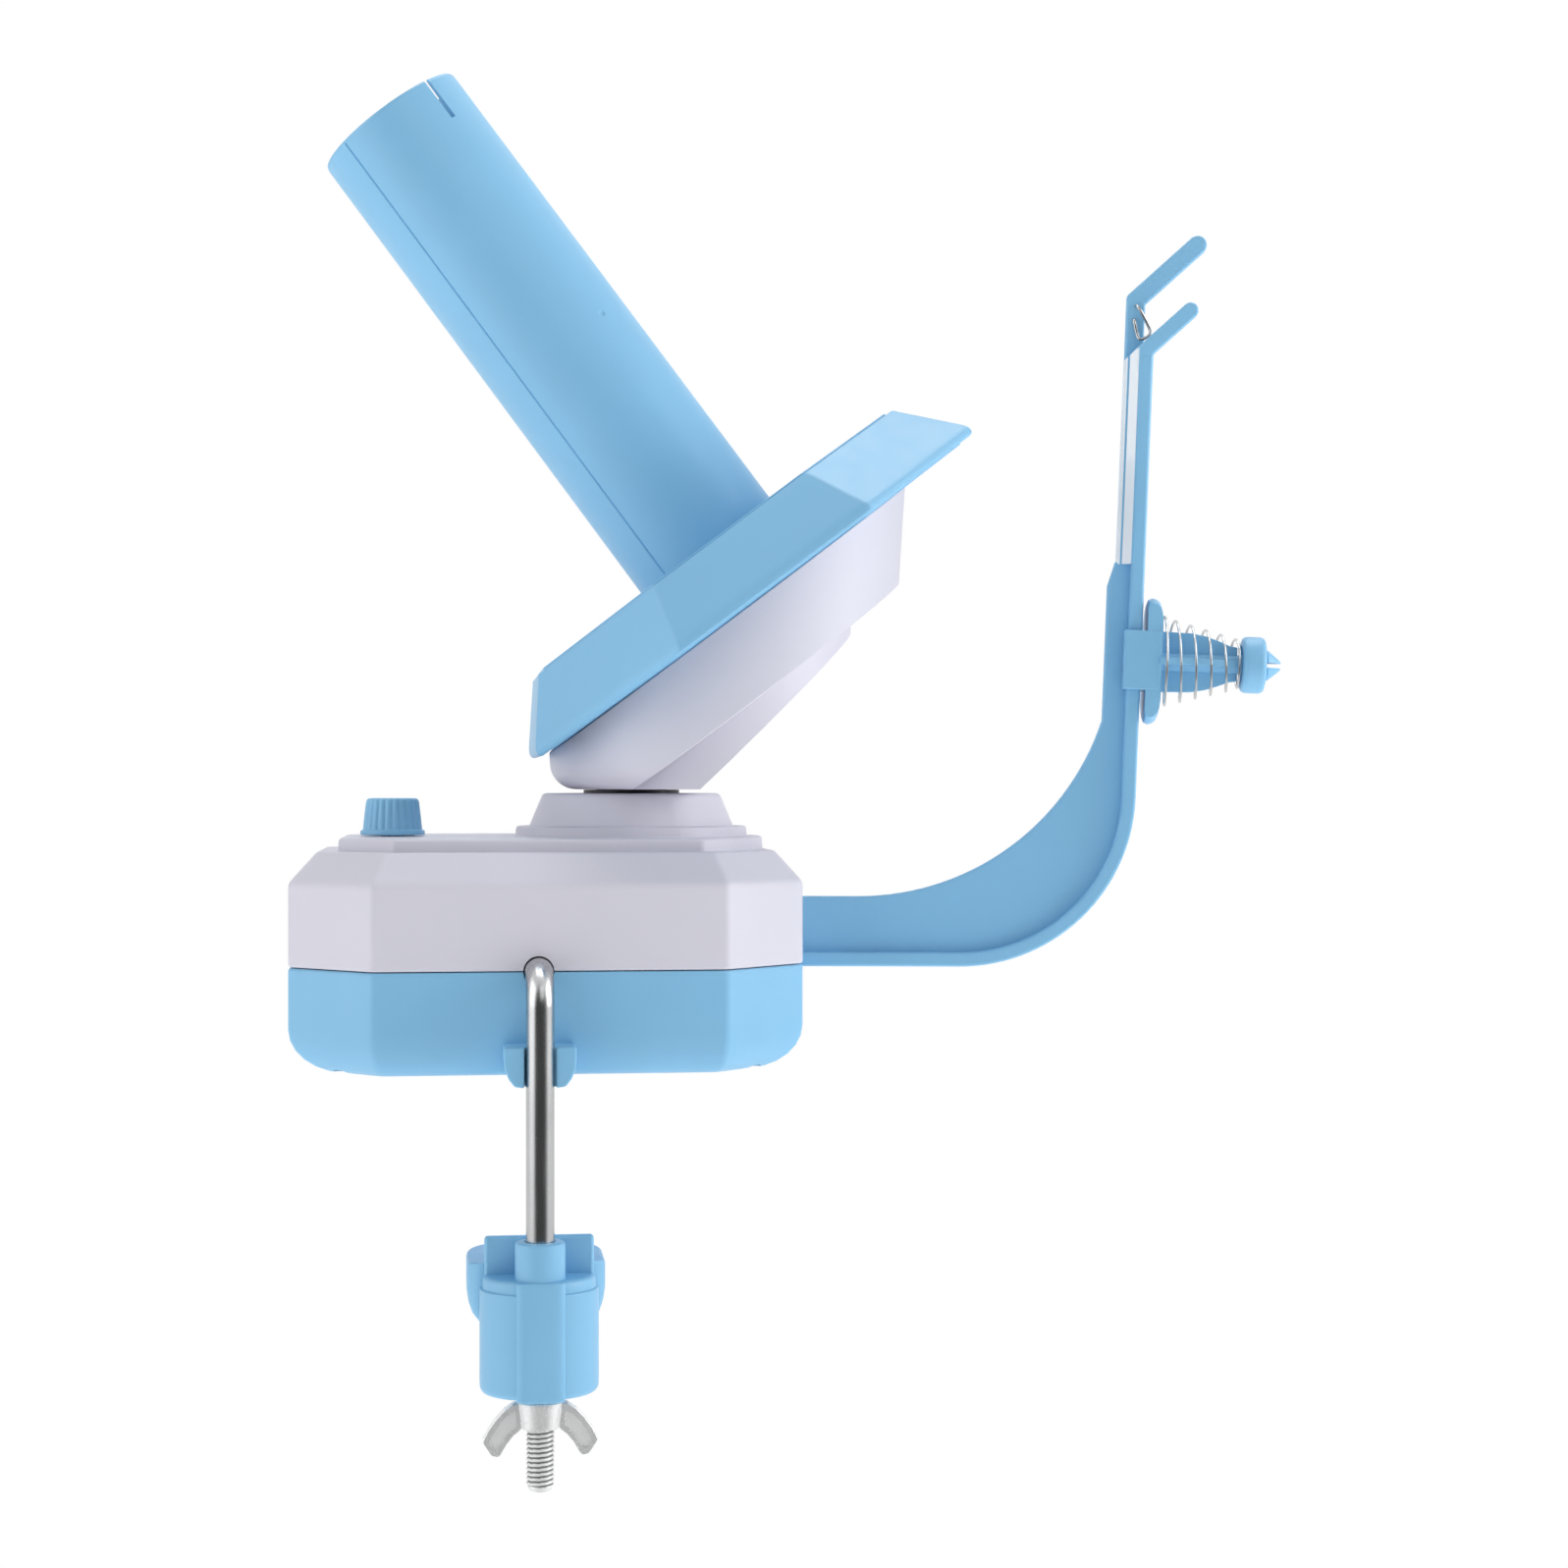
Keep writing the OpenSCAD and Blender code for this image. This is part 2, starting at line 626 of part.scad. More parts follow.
module upper_case() {
    color(pale) difference() {
        union() {
            difference() {
                union() {
                    upper_form(0);
                    plan_block(deck_inset, ledge_z - overcut, deck_z);
                    translate([0, 0, ledge_z - overcut]) cylinder(h = deck_h + overcut, r = step_r);
                    translate([0, 0, deck_z - overcut]) cylinder(h = ring_h + overcut, r = ring_r);
                    translate([0, 0, collar_z]) cylinder(h = collar_h, r1 = collar_r, r2 = collar_top_r);
                }
                upper_form(wall);
                plan_block(deck_inset + wall, ledge_z - wall - overcut, deck_under);
                translate([0, 0, ledge_z - wall - overcut])
                    cylinder(h = deck_under - ledge_z + wall + overcut, r = step_r - wall);
                translate([0, 0, deck_under - overcut])
                    cylinder(h = collar_top - deck_under, r1 = collar_r - wall, r2 = collar_top_r - wall - 1);
            }
            translate([0, 0, bush_foot]) cylinder(h = collar_top - bush_foot - overcut, r = bush_r + wall);
            for (p = screw_spots) intersection() {
                translate([p[0], p[1], seam_z]) cylinder(h = far, d = screw_post_d);
                upper_form(wall / 2);
            }
            translate([idler_at[0], idler_at[1], deck_under - idler_boss_h])
                cylinder(h = idler_boss_h + wall / 2, r = idler_axle_d);
        }
        translate([0, 0, bush_foot - overcut]) cylinder(h = far, r = bush_r + fit_gap);
        for (p = screw_spots) translate([p[0], p[1], seam_z - overcut]) cylinder(h = 12 + overcut, d = screw_d + 0.1);
        translate([idler_at[0], idler_at[1], deck_under - idler_boss_h - overcut])
            cylinder(h = idler_boss_h + overcut, r = idler_axle_d / 2 + fit_gap);
        translate([knob_at, 0, deck_under - overcut]) cylinder(h = far, r = pot_bushing_r + fit_gap);
        rod_leg(rod_r + free_gap);
        arm_passage();
    }
}

module case_screws() {
    color(steel) for (p = screw_spots) translate([p[0], p[1], screw_recess]) {
        translate([0, 0, -2]) cylinder(h = 2, d = screw_head_d);
        translate([0, 0, -2]) cylinder(h = seam_z - screw_recess + 12, d = screw_d);
    }
}

module collar_bush() {
    color(dark) difference() {
        union() {
            translate([0, 0, bush_foot]) cylinder(h = collar_top - bush_foot, r = bush_r);
            translate([0, 0, collar_top]) cylinder(h = bush_flange_t, r = bush_flange_r);
        }
        translate([0, 0, bush_foot - overcut]) cylinder(h = far, r = neck_r + run_gap);
    }
}

module centre_post() {
    color(steel) translate([0, 0, post_seat_z]) cylinder(h = post_top - post_seat_z, r = post_r);
}

module sun_gear() {
    color(nylon) difference() {
        union() {
            translate([0, 0, sun_z]) linear_extrude(sun_h, scale = cone_shrink) gear_outline(bevel_module, sun_teeth);
            translate([0, 0, sun_z - sun_hub_h]) cylinder(h = sun_hub_h, r = post_r + 2.5);
        }
        translate([0, 0, sun_z - sun_hub_h - overcut]) cylinder(h = far, r = post_r + fit_gap);
    }
}

module motor_can() {
    color(steel) translate([motor_at[0], motor_at[1], motor_top - motor_len]) difference() {
        union() {
            translate([0, 0, 1.5]) cylinder(h = motor_len - 1.5, d = motor_d);
            cylinder(h = motor_len + 1.2, d = 8);
        }
        translate([0, 0, motor_len - 12]) cylinder(h = far, d = motor_shaft_d + 2 * run_gap);
        for (s = [-1, 1]) rotate([0, 0, motor_screw_angle + 90]) translate([s * 8, 0, motor_len - 3])
            cylinder(h = far, d = 2);
    }
}

module motor_plate() {
    color(steel) translate([motor_at[0], motor_at[1], motor_top]) rotate([0, 0, motor_screw_angle]) difference() {
        union() {
            cylinder(h = motor_plate_t, d = motor_d + 1.6);
            for (s = [-1, 1]) translate([s * motor_screw_reach, 0, 0]) cylinder(h = motor_plate_t, r = 4);
            translate([-motor_screw_reach, -4, 0]) cube([2 * motor_screw_reach, 8, motor_plate_t]);
        }
        translate([0, 0, -overcut]) cylinder(h = far, d = 8 + 2 * fit_gap);
        for (s = [-1, 1]) {
            translate([s * motor_screw_reach, 0, -overcut]) cylinder(h = far, r = 1.5);
            rotate([0, 0, 90]) translate([s * 8, 0, -overcut]) cylinder(h = far, r = 1.1);
        }
    }
}

module motor_screws() {
    color(steel) translate([motor_at[0], motor_at[1], motor_plate_top]) for (s = [-1, 1]) {
        rotate([0, 0, motor_screw_angle]) translate([s * motor_screw_reach, 0, 0]) {
            cylinder(h = 1.6, r = 2.6);
            translate([0, 0, -7]) cylinder(h = 7 + overcut, r = 1.2);
        }
        rotate([0, 0, motor_screw_angle + 90]) translate([s * 8, 0, 0]) {
            cylinder(h = 1.2, r = 1.8);
            translate([0, 0, -motor_plate_t - 2]) cylinder(h = motor_plate_t + 2 + 0.5, r = 0.95);
        }
    }
}

module motor_shaft() {
    color(steel) translate([motor_at[0], motor_at[1], motor_top - 10])
        cylinder(h = idler_large_z + idler_large_t + 1 - motor_top + 10, d = motor_shaft_d);
}

module motor_pinion() {
    color(brass) translate([motor_at[0], motor_at[1], idler_large_z - 0.3]) difference() {
        linear_extrude(idler_large_t + 0.6) rotate([0, 0, pinion_phase]) gear_outline(fast_module, pinion_teeth);
        translate([0, 0, -overcut]) cylinder(h = far, r = motor_shaft_d / 2 + fit_gap);
    }
}

module idler_axle() {
    color(steel) translate([idler_at[0], idler_at[1], seam_z - 4])
        cylinder(h = deck_under - seam_z + 4 - 0.1, d = idler_axle_d);
}

module idler_gear() {
    color(nylon) translate([idler_at[0], idler_at[1], 0]) difference() {
        union() {
            translate([0, 0, idler_large_z]) linear_extrude(idler_large_t)
                gear_outline(fast_module, idler_large_teeth);
            translate([0, 0, idler_large_z + 1]) linear_extrude(idler_top - idler_large_z - 1)
                rotate([0, 0, idler_phase]) gear_outline(slow_module, idler_small_teeth);
        }
        cylinder(h = far, r = idler_axle_d / 2 + run_gap);
    }
}

// Board with a driver chip, a reservoir capacitor, a power transistor and a terminal
module control_board() {
    color([0.10, 0.38, 0.22]) translate([board_at[0], board_at[1], board_z]) {
        cube([board_size[0], board_size[1], board_t]);
        translate([5, 5, board_t]) cube([8, 6, 1.8]);
        translate([20, 7, board_t]) cylinder(h = 9, d = 6.3);
        translate([17, 14, board_t]) cube([9, 3, 10]);
        translate([5, 16, board_t]) cube([8, 6, 7]);
    }
}

module dc_inlet() {
    color(dark) difference() {
        union() {
            translate([inlet_x, case_d / 2 - wall, inlet_z]) rotate([90, 0, 0])
                cylinder(h = 13, r = inlet_r + 1.5);
            translate([inlet_x, case_d / 2, inlet_z]) rotate([90, 0, 0]) cylinder(h = wall + 1, r = inlet_r);
            translate([inlet_x - 3, case_d / 2 - wall - 13, floor_z]) cube([6, 5, inlet_z - floor_z]);
        }
        translate([inlet_x, case_d / 2 - 9.5, inlet_z]) rotate([-90, 0, 0]) difference() {
            cylinder(h = far, r = 2.8);
            cylinder(h = 9, r = 1);
        }
    }
}

// Bush of the potentiometer, which passes through the deck
pot_bushing_r = 3.9;
pot_nut_h = 2;
module speed_potentiometer() {
    color(dark) translate([knob_at, 0, deck_under - pot_h]) difference() {
        union() {
            cylinder(h = pot_h, d = pot_d);
            cylinder(h = pot_h + wall + pot_nut_h + 0.4, r = pot_bushing_r);
        }
        translate([0, 0, 2]) cylinder(h = far, r = pot_shaft_d / 2 + run_gap);
    }
}

module potentiometer_nut() {
    color(steel) translate([knob_at, 0, deck_z]) difference() {
        cylinder(h = pot_nut_h, r = pot_bushing_r + 1.1, $fn = 6);
        translate([0, 0, -overcut]) cylinder(h = far, r = pot_bushing_r + fit_gap);
    }
}

module potentiometer_shaft() {
    color(steel) translate([knob_at, 0, deck_under - pot_h + 2.2])
        cylinder(h = deck_z + knob_h - 1.5 - deck_under + pot_h - 2.2, d = pot_shaft_d);
}

module speed_knob() {
    flute_step = 360 / knob_flutes;
    color(blue) translate([knob_at, 0, deck_z + free_gap]) difference() {
        union() {
            cylinder(h = knob_ring_h, d = knob_d);
            cylinder(h = knob_h - 0.6, d1 = knob_d - 0.5, d2 = knob_top_d);
            translate([0, 0, knob_h - 0.6]) cylinder(h = 0.6, d1 = knob_top_d, d2 = knob_top_d - 1);
        }
        for (i = [0 : knob_flutes - 1]) rotate([0, 0, i * flute_step])
            translate([knob_d / 2 - 0.95, 0, knob_ring_h]) rotate([0, -atan((knob_d - knob_top_d - 0.5) / 2 / knob_h), 0])
                translate([0, -0.45, 0]) cube([2, 0.9, knob_h - knob_ring_h - 1]);
        translate([0, 0, -overcut]) cylinder(h = pot_nut_h + 1 + overcut, r = pot_bushing_r + 1.6);
        translate([0, 0, -overcut]) cylinder(h = knob_h - 1.4 - free_gap + overcut, d = pot_shaft_d + 2 * fit_gap);
    }
}

module base_outer() {
    intersection() {
        translate([head_centre, 0, head_z]) cylinder(h = 2 * cross_h, r = base_r);
        above_underside(0);
    }
}

// Lower tier of the head with the neck, the axle's boss and a lip under the crease
lip = 4.5;
module head_base() {
    color(pale) difference() {
        union() {
            difference() {
                base_outer();
                above_spool_plane(head_crease);
                difference() {
                    intersection() {
                        translate([head_centre, 0, head_z + head_wall]) cylinder(h = 2 * cross_h, r = base_r - head_wall);
                        above_underside(head_wall);
                    }
                    difference() {
                        above_spool_plane(head_crease + head_wall);
                        translate([head_centre, 0, 0]) cylinder(h = far, r = base_r - lip);
                    }
                }
            }
            intersection() {
                on_spool(axle_foot + 8) cylinder(h = axle_foot + 8 - axle_boss_top, r = axle_boss_r);
                above_underside(head_wall / 2);
            }
            translate([0, 0, head_z]) cylinder(h = neck_disc_t, r = neck_disc_r);
            translate([0, 0, neck_foot]) cylinder(h = head_z - neck_foot + overcut, r = neck_r);
        }
        translate([0, 0, neck_foot - overcut]) cylinder(h = head_z + neck_disc_t - neck_foot + 2 * overcut, r = post_r + 1);
        on_spool(axle_foot) cylinder(h = far, r = axle_r + fit_gap);
        for (p = head_screw_spots) head_screw_place(p) translate([0, 0, -head_wall - 2.2]) cylinder(h = 10, r = 1.1);
        translate([0, 0, head_z + neck_disc_t]) cylinder(h = sun_z - head_z, r = neck_disc_r - 3);
    }
}

// Disc at the neck's top, which closes the floor of the upper tier
neck_disc_r = 14;
neck_disc_t = 3.2;

// Screws that hold the two tiers together, square to the crease
head_screw_spots = [[0, 1], [0, -1], [1, 0]];
module head_screw_place(p) {
    reach = base_r - lip / 2 - 0.3;
    plane_x = head_centre + p[0] * reach;
    plane_z = cross_z - (head_crease - plane_x * sin(head_tilt)) / cos(head_tilt);
    translate([plane_x, p[1] * reach, plane_z]) rotate([0, -head_tilt, 0]) children();
}

module head_profile(inset) {
    r = head_r - inset;
    foot = head_z + inset;
    round_r = head_round - inset;
    top_h = 2 * cross_h;
    translate([0, foot]) square([r - round_r, top_h]);
    translate([r - round_r, foot + round_r]) circle(round_r);
    polygon([[0, foot + round_r], [r, foot + round_r], [r + top_h * tan(head_draft), foot + round_r + top_h],
        [0, foot + round_r + top_h]]);
}

module head_housing() {
    color(pale) difference() {
        intersection() {
            translate([head_centre, 0, 0]) rotate_extrude($fn = 96) head_profile(0);
            above_spool_plane(head_crease);
        }
        above_spool_plane(head_top);
        intersection() {
            translate([head_centre, 0, 0]) rotate_extrude($fn = 96) head_profile(head_wall);
            above_spool_plane(head_crease - head_wall);
        }
        translate([head_centre, 0, head_z - overcut]) cylinder(h = far, r = base_r - lip);
        translate([0, 0, head_z - overcut]) cylinder(h = far, r = neck_disc_r + fit_gap);
        for (p = head_screw_spots) head_screw_place(p) translate([0, 0, -5]) cylinder(h = 20, r = 1.3);
    }
}

module head_gear() {
    color(nylon) difference() {
        union() {
            translate([0, 0, head_gear_z]) linear_extrude(head_gear_t) gear_outline(slow_module, head_teeth);
            translate([0, 0, head_gear_z]) cylinder(h = bush_foot - 0.2 - head_gear_z, r = neck_r + 4);
        }
        translate([0, 0, head_gear_z - overcut]) cylinder(h = far, r = neck_r + fit_gap);
        for (a = [0 : 60 : 300]) rotate([0, 0, a]) translate([(head_gear_r + neck_r + 3) / 2, 0, head_gear_z - overcut])
            cylinder(h = head_gear_t + 2 * overcut, r = 5);
    }
}

module neck_ring() {
    color(steel) translate([0, 0, head_gear_z - neck_ring_t]) difference() {
        cylinder(h = neck_ring_t, r = neck_r + 2.5);
        translate([0, 0, -overcut]) cylinder(h = far, r = neck_r + fit_gap);
    }
}

module head_screws() {
    color(steel) for (p = head_screw_spots) head_screw_place(p) {
        translate([0, 0, head_wall]) cylinder(h = 1.6, r = 2);
        translate([0, 0, -head_wall - 2]) cylinder(h = 2 * head_wall + 2 + overcut, r = 1.05);
    }
}

module spool_axle() {
    color(steel) on_spool(axle_foot) cylinder(h = axle_foot - axle_top, r = axle_r);
}

module axle_clip() {
    color(steel) on_spool(upper_bush_top - free_gap) difference() {
        cylinder(h = clip_t, r = axle_r + 2);
        translate([0, 0, -overcut]) cylinder(h = far, r = axle_r + fit_gap);
    }
}

// Screws and their bosses between the flange and the tube's foot
module spool_screw_ring() {
    for (a = [30 : 120 : 270]) rotate([0, 0, a]) translate([spool_screw_r, 0, 0]) children();
}

module spool_tube() {
    web_t = 3;
    color(blue) on_spool() difference() {
        union() {
            difference() {
                translate([0, 0, -spool_foot]) cylinder(h = tube_len, r1 = tube_r, r2 = tube_tip_r);
                translate([0, 0, web_t - spool_foot])
                    cylinder(h = tube_len, r1 = tube_r - tube_wall, r2 = tube_tip_r - tube_wall);
            }
            translate([0, 0, -spool_foot]) spool_screw_ring() cylinder(h = 12, r = 3);
            translate([0, 0, -upper_bush_foot]) cylinder(h = upper_bush_foot - upper_bush_top, r = axle_r + bush_wall + 2.5);
            translate([0, 0, -upper_bush_foot - web_t]) cylinder(h = web_t, r = tube_r - tube_wall / 2);
        }
        translate([0, 0, -far / 2]) cylinder(h = far, r = axle_r + bush_wall + fit_gap);
        translate([0, 0, -spool_foot - overcut]) cylinder(h = web_t + 2 * overcut, r = hub_r + fit_gap);
        translate([0, 0, -spool_foot]) spool_screw_ring() translate([0, 0, -overcut]) cylinder(h = 10, r = 1.3);
        rotate([0, 0, -54.5]) translate([0, -slit_w / 2, -tube_tip - slit_len]) cube([tube_r + overcut, slit_w, far]);
    }
}

// Eight-sided tray, with a flat towards each side
module tray(w_low, w_high, h) {
    rotate([0, 0, 22.5]) cylinder(h = h, d1 = w_low / cos(22.5), d2 = w_high / cos(22.5), $fn = 8);
}

module spool_flange() {
    taper = (flange_rim_w - flange_top_w) / flange_depth;
    inner_w = flange_rim_w - 2 * flange_wall * sqrt(1 + taper * taper / 4);
    ring_h = 3;
    ring_drop = 0.9;
    ring_bite = 0.54;
    ring_w = inner_w - (ring_h - ring_drop) * taper + 2 * ring_bite;
    color(blue) on_spool() difference() {
        union() {
            difference() {
                translate([0, 0, -flange_rim]) tray(flange_rim_w, flange_top_w, flange_depth);
                translate([0, 0, -flange_rim - overcut]) tray(inner_w + overcut * taper,
                    inner_w - (flange_depth - flange_wall) * taper, flange_depth - flange_wall + overcut);
            }
            translate([0, 0, -flange_top - overcut / 2]) tray(flange_top_w - 3.6, flange_top_w - 3.6, seat_t + overcut / 2);
            translate([0, 0, -hub_shoulder]) cylinder(h = hub_shoulder - flange_top + 2, r = hub_r);
            translate([0, 0, -hub_end]) cylinder(h = hub_end - flange_top, r = hub_nose_r);
            difference() {
                translate([0, 0, -flange_rim - ring_drop]) tray(ring_w, ring_w, ring_h);
                translate([0, 0, -flange_rim - 2 * ring_drop]) tray(ring_w - 5, ring_w - 5, 2 * ring_h);
            }
        }
        translate([0, 0, -far / 2]) cylinder(h = far, r = axle_r + 0.5);
        translate([0, 0, -hub_end - overcut]) cylinder(h = hub_end - lower_bush_top + overcut, r = axle_r + bush_wall + fit_gap);
        translate([0, 0, -flange_rim]) spool_screw_ring() cylinder(h = far, r = 1.6);
    }
}

module spool_gear() {
    color(nylon) on_spool(spool_gear_s) difference() {
        union() {
            linear_extrude(spool_gear_h, scale = cone_shrink) rotate([0, 0, spool_gear_phase])
                gear_outline(bevel_module, spool_teeth);
        }
        translate([0, 0, -overcut]) cylinder(h = far, r = hub_nose_r + fit_gap);
        translate([0, 0, -overcut]) difference() {
            cylinder(h = 2.5 + overcut, r = spool_gear_r - 6);
            cylinder(h = 2.5 + overcut, r = hub_nose_r + 3);
        }
    }
}

module spool_screws() {
    color(steel) on_spool(flange_top + flange_wall) spool_screw_ring() {
        translate([0, 0, -1.6]) cylinder(h = 1.6, r = 2.2);
        translate([0, 0, -1]) cylinder(h = 10, r = 1.25);
    }
}

module lower_bush() {
    color(brass) on_spool(hub_end) difference() {
        cylinder(h = hub_end - lower_bush_top, r = axle_r + bush_wall);
        translate([0, 0, -overcut]) cylinder(h = far, r = axle_r + run_gap);
    }
}

module upper_bush() {
    color(brass) on_spool(upper_bush_foot) difference() {
        cylinder(h = upper_bush_foot - upper_bush_top, r = axle_r + bush_wall);
        translate([0, 0, -overcut]) cylinder(h = far, r = axle_r + run_gap);
    }
}

// A point of the upright's own frame in the plane of the arm, and points round one of the arm's bends
function up_point(x, z) = [upright_s + x * cos(arm_lean) + z * sin(arm_lean),
    upright_z - x * sin(arm_lean) + z * cos(arm_lean)];
function arc_points(s, z, r, from, to) = [for (i = [0:30]) let (a = from + (to - from) * i / 30)
    [s + r * cos(a), z + r * sin(a)]];

// Side view of the band: along the run, round the bend and up the upright
module arm_band_outline() {
    polygon(concat([[0, arm_z]], arc_points(arm_run, arm_bend_z, arm_bend_r, -90, -arm_lean),
        [up_point(0, arm_upright), up_point(-arm_band_t, arm_upright)],
        arc_points(arm_run, arm_bend_z, arm_bend_r - arm_band_t, -arm_lean, -90), [[0, arm_z + arm_band_t]]));
}

// Side view of the web inside the band, its outer edge sunk to the middle of the band
module arm_web_outline(web_h) {
    sunk = arm_band_t / 2;
    meet = up_point(-arm_upright_depth, web_foot);
    meet_angle = atan2(meet.y - inner_z, meet.x - arm_inner_s);
    polygon(concat([[0, arm_z + sunk]], arc_points(arm_run, arm_bend_z, arm_bend_r - sunk, -90, -arm_lean),
        [up_point(-sunk, web_h), up_point(-arm_top_depth, web_h), up_point(-arm_upright_depth, arm_step - 1)],
        arc_points(arm_inner_s, inner_z, arm_inner_r, meet_angle, -90), [[0, arm_root_top]]));
}

// One flat guide finger: a strip that leaves the upright at an angle, with a rounded end
module finger_outline(foot, top, len, root) {
    a = finger_angle;
    reach = len - finger_t * 1.3;
    translate([-finger_t, foot]) square([finger_t + root, arm_upright - foot - 0.4]);
    polygon(concat([[-finger_t, foot + 1], [0, foot + 1], [0, top]],
        arc_points(reach * cos(a) - finger_t / 2 * sin(a), top + reach * sin(a) + finger_t / 2 * cos(a),
            finger_t / 2, a - 90, a + 90),
        [[-finger_t, top + finger_t * tan(45 - a / 2)]]));
}

module guide_arm() {
    finger_w = 3.4;
    inset = 0.15;
    rib_foot = arm_band_w / 2 - 0.6;
    rib_edge = 1.3;
    upper_z = arm_upright;
    web_h = arm_step + 5;
    color(blue) {
        on_arm() {
            plate_xz(arm_web_t) arm_web_outline(web_h);
            plate_xz(arm_band_w) arm_band_outline();
            translate([-arm_tongue, -tongue_w / 2, arm_z]) cube([arm_tongue + 2, tongue_w, tongue_h]);
        }
        on_upright() {
            translate([0, 0, web_h - 1]) linear_extrude(upper_z - web_h + 0.6) polygon([
                [-arm_band_t / 2, -rib_foot], [-arm_band_t - 0.1, -rib_foot], [0.1 - arm_top_depth, -rib_edge],
                [0.1 - arm_top_depth, rib_edge], [-arm_band_t - 0.1, rib_foot], [-arm_band_t / 2, rib_foot]]);
            translate([-inset, finger_w / 2 - arm_band_w / 2 + inset, 0]) plate_xz(finger_w)
                finger_outline(upper_z - 4, upper_z + 0.5, finger_len, -1);
            translate([0.4 + finger_t - arm_top_depth, arm_band_w / 2 - finger_w / 2 - inset, 0]) plate_xz(finger_w)
                finger_outline(upper_z - 4, upper_z + finger_rise + 0.5, finger_len + 4, 1);
        }
    }
}

// Bent wire that closes the gap between the fingers
module guide_wire() {
    foot = arm_upright;
    inner = arm_band_w / 2 - 3.4;
    corners = [[-1.6, inner + 0.6, foot + 9], [-1.6, inner - 1.2, foot + 9], [-1, inner - 2, foot + 8.4],
        [1.8, 0.2, foot + 4], [1.6, -0.2, foot + 2.6], [-1.2, -0.2, foot + 2.4], [-2, 0.2, foot + 3.6],
        [-2, inner - 1.6, foot + 6.2], [-2, inner - 1, foot + 6.6], [-2, inner + 0.6, foot + 6.6]];
    color(steel) on_upright() wire_tube(bent_path(corners, 3), guide_wire_d);
}

// Half width of the ribbed post along its length
post_profile = [[0, 1], [0.4, 0.97], [0.7, 0.8], [0.9, 0.66], [1, 0.6]];
function post_half(k) = tension_end_r + (tension_post_r - tension_end_r) * (post_profile[k][1] - 0.6) / 0.4;

module post_rib() {
    linear_extrude(tension_rib_t, center = true) polygon(concat(
        [for (k = [0 : len(post_profile) - 1]) [post_x0 - 0.5 + post_profile[k][0] * (tension_post_len + 0.5), post_half(k)]],
        [for (k = [len(post_profile) - 1 : -1 : 0])
            [post_x0 - 0.5 + post_profile[k][0] * (tension_post_len + 0.5), -post_half(k)]]));
}

// Clip, disc, ribbed post and split arrow tip in one moulding
module tension_post() {
    clip_w = arm_band_w + 2 * clip_wall;
    slot = 1.1;
    color(blue) on_upright() translate([0, 0, tension_z]) difference() {
        union() {
            translate([-clip_depth, -clip_w / 2, -clip_h / 2]) cube([clip_depth + tension_disc_gap + 1, clip_w, clip_h]);
            translate([tension_disc_gap, 0, 0]) rotate([0, 90, 0]) cylinder(h = tension_disc_t, d = tension_disc_d);
            post_rib();
            rotate([90, 0, 0]) post_rib();
            translate([post_x0, 0, 0]) rotate([0, 90, 0]) cylinder(h = cap_x1 + 0.5 - post_x0, r = tip_neck_r);
            translate([cap_x1 + 0.1, 0, 0]) rotate([0, 90, 0]) cylinder(h = tension_tip_len, r1 = tip_r, r2 = 0.9);
        }
        translate([-arm_band_t - fit_gap, -arm_band_w / 2 - fit_gap, -far / 2])
            cube([arm_band_t + 2 * fit_gap, arm_band_w + 2 * fit_gap, far]);
        translate([-far, -arm_web_t / 2 - 0.2, -far / 2]) cube([far - arm_band_t + 0.1, arm_web_t + 0.4, far]);
        translate([cap_x1 - 2.5, -tip_r - 1, -slot / 2]) cube([far, 2 * tip_r + 2, slot]);
    }
}

// Middle line of the conical spring, with one turn lying flat at each end
spring_rings = 8;
function spring_angle(i) = 360 * i / spring_rings;
function spring_share(i) = i / (spring_curls * spring_rings);
function spring_radius(i) = (spring_big_d + (spring_small_d - spring_big_d) * spring_share(i) - spring_wire_d) / 2;
function spring_rise(i) = let (t = spring_share(i), flat = 0.6 / spring_curls)
    t < flat ? 0.25 * t : t > 1 - flat ? 1 - 0.25 * (1 - t)
        : 0.25 * flat + (t - flat) / (1 - 2 * flat) * (1 - 0.5 * flat);
function spring_point(i) = [spring_x0 + (spring_x1 - spring_x0) * spring_rise(i),
    spring_radius(i) * cos(spring_angle(i)), spring_radius(i) * sin(spring_angle(i))];
spring_turn_points = [for (i = [0 : spring_curls * spring_rings]) spring_point(i)];
spring_last = len(spring_turn_points) - 1;
function toward(a, b) = (b - a) / norm(b - a);
spring_path = concat(
    [spring_turn_points[0] + spring_wire_d * toward(spring_turn_points[1], spring_turn_points[0])],
    spring_turn_points,
    [spring_turn_points[spring_last] + spring_wire_d
        * toward(spring_turn_points[spring_last - 1], spring_turn_points[spring_last])]);
spring_gap = min([for (i = [0 : spring_last], j = [0 : spring_last]) if (j - i > spring_rings / 2)
    norm(spring_turn_points[j] - spring_turn_points[i])]) - spring_wire_d;

// Smooth run through the middles of a line's sides, bent round its corners
function bent_path(corners, steps) = concat([corners[0]],
    [for (i = [1 : len(corners) - 2], k = [0 : steps - 1]) let (t = k / steps,
        a = (corners[i - 1] + corners[i]) / 2, b = (corners[i] + corners[i + 1]) / 2)
        (1 - t) * (1 - t) * a + 2 * t * (1 - t) * corners[i] + t * t * b],
    [(corners[len(corners) - 2] + corners[len(corners) - 1]) / 2, corners[len(corners) - 1]]);

// Sideways vectors carried along a path without twist
function carried(along, i, n) = i >= len(along) ? []
    : let (m = n - (n * along[i]) * along[i], u = m / norm(m)) concat([u], carried(along, i + 1, u));

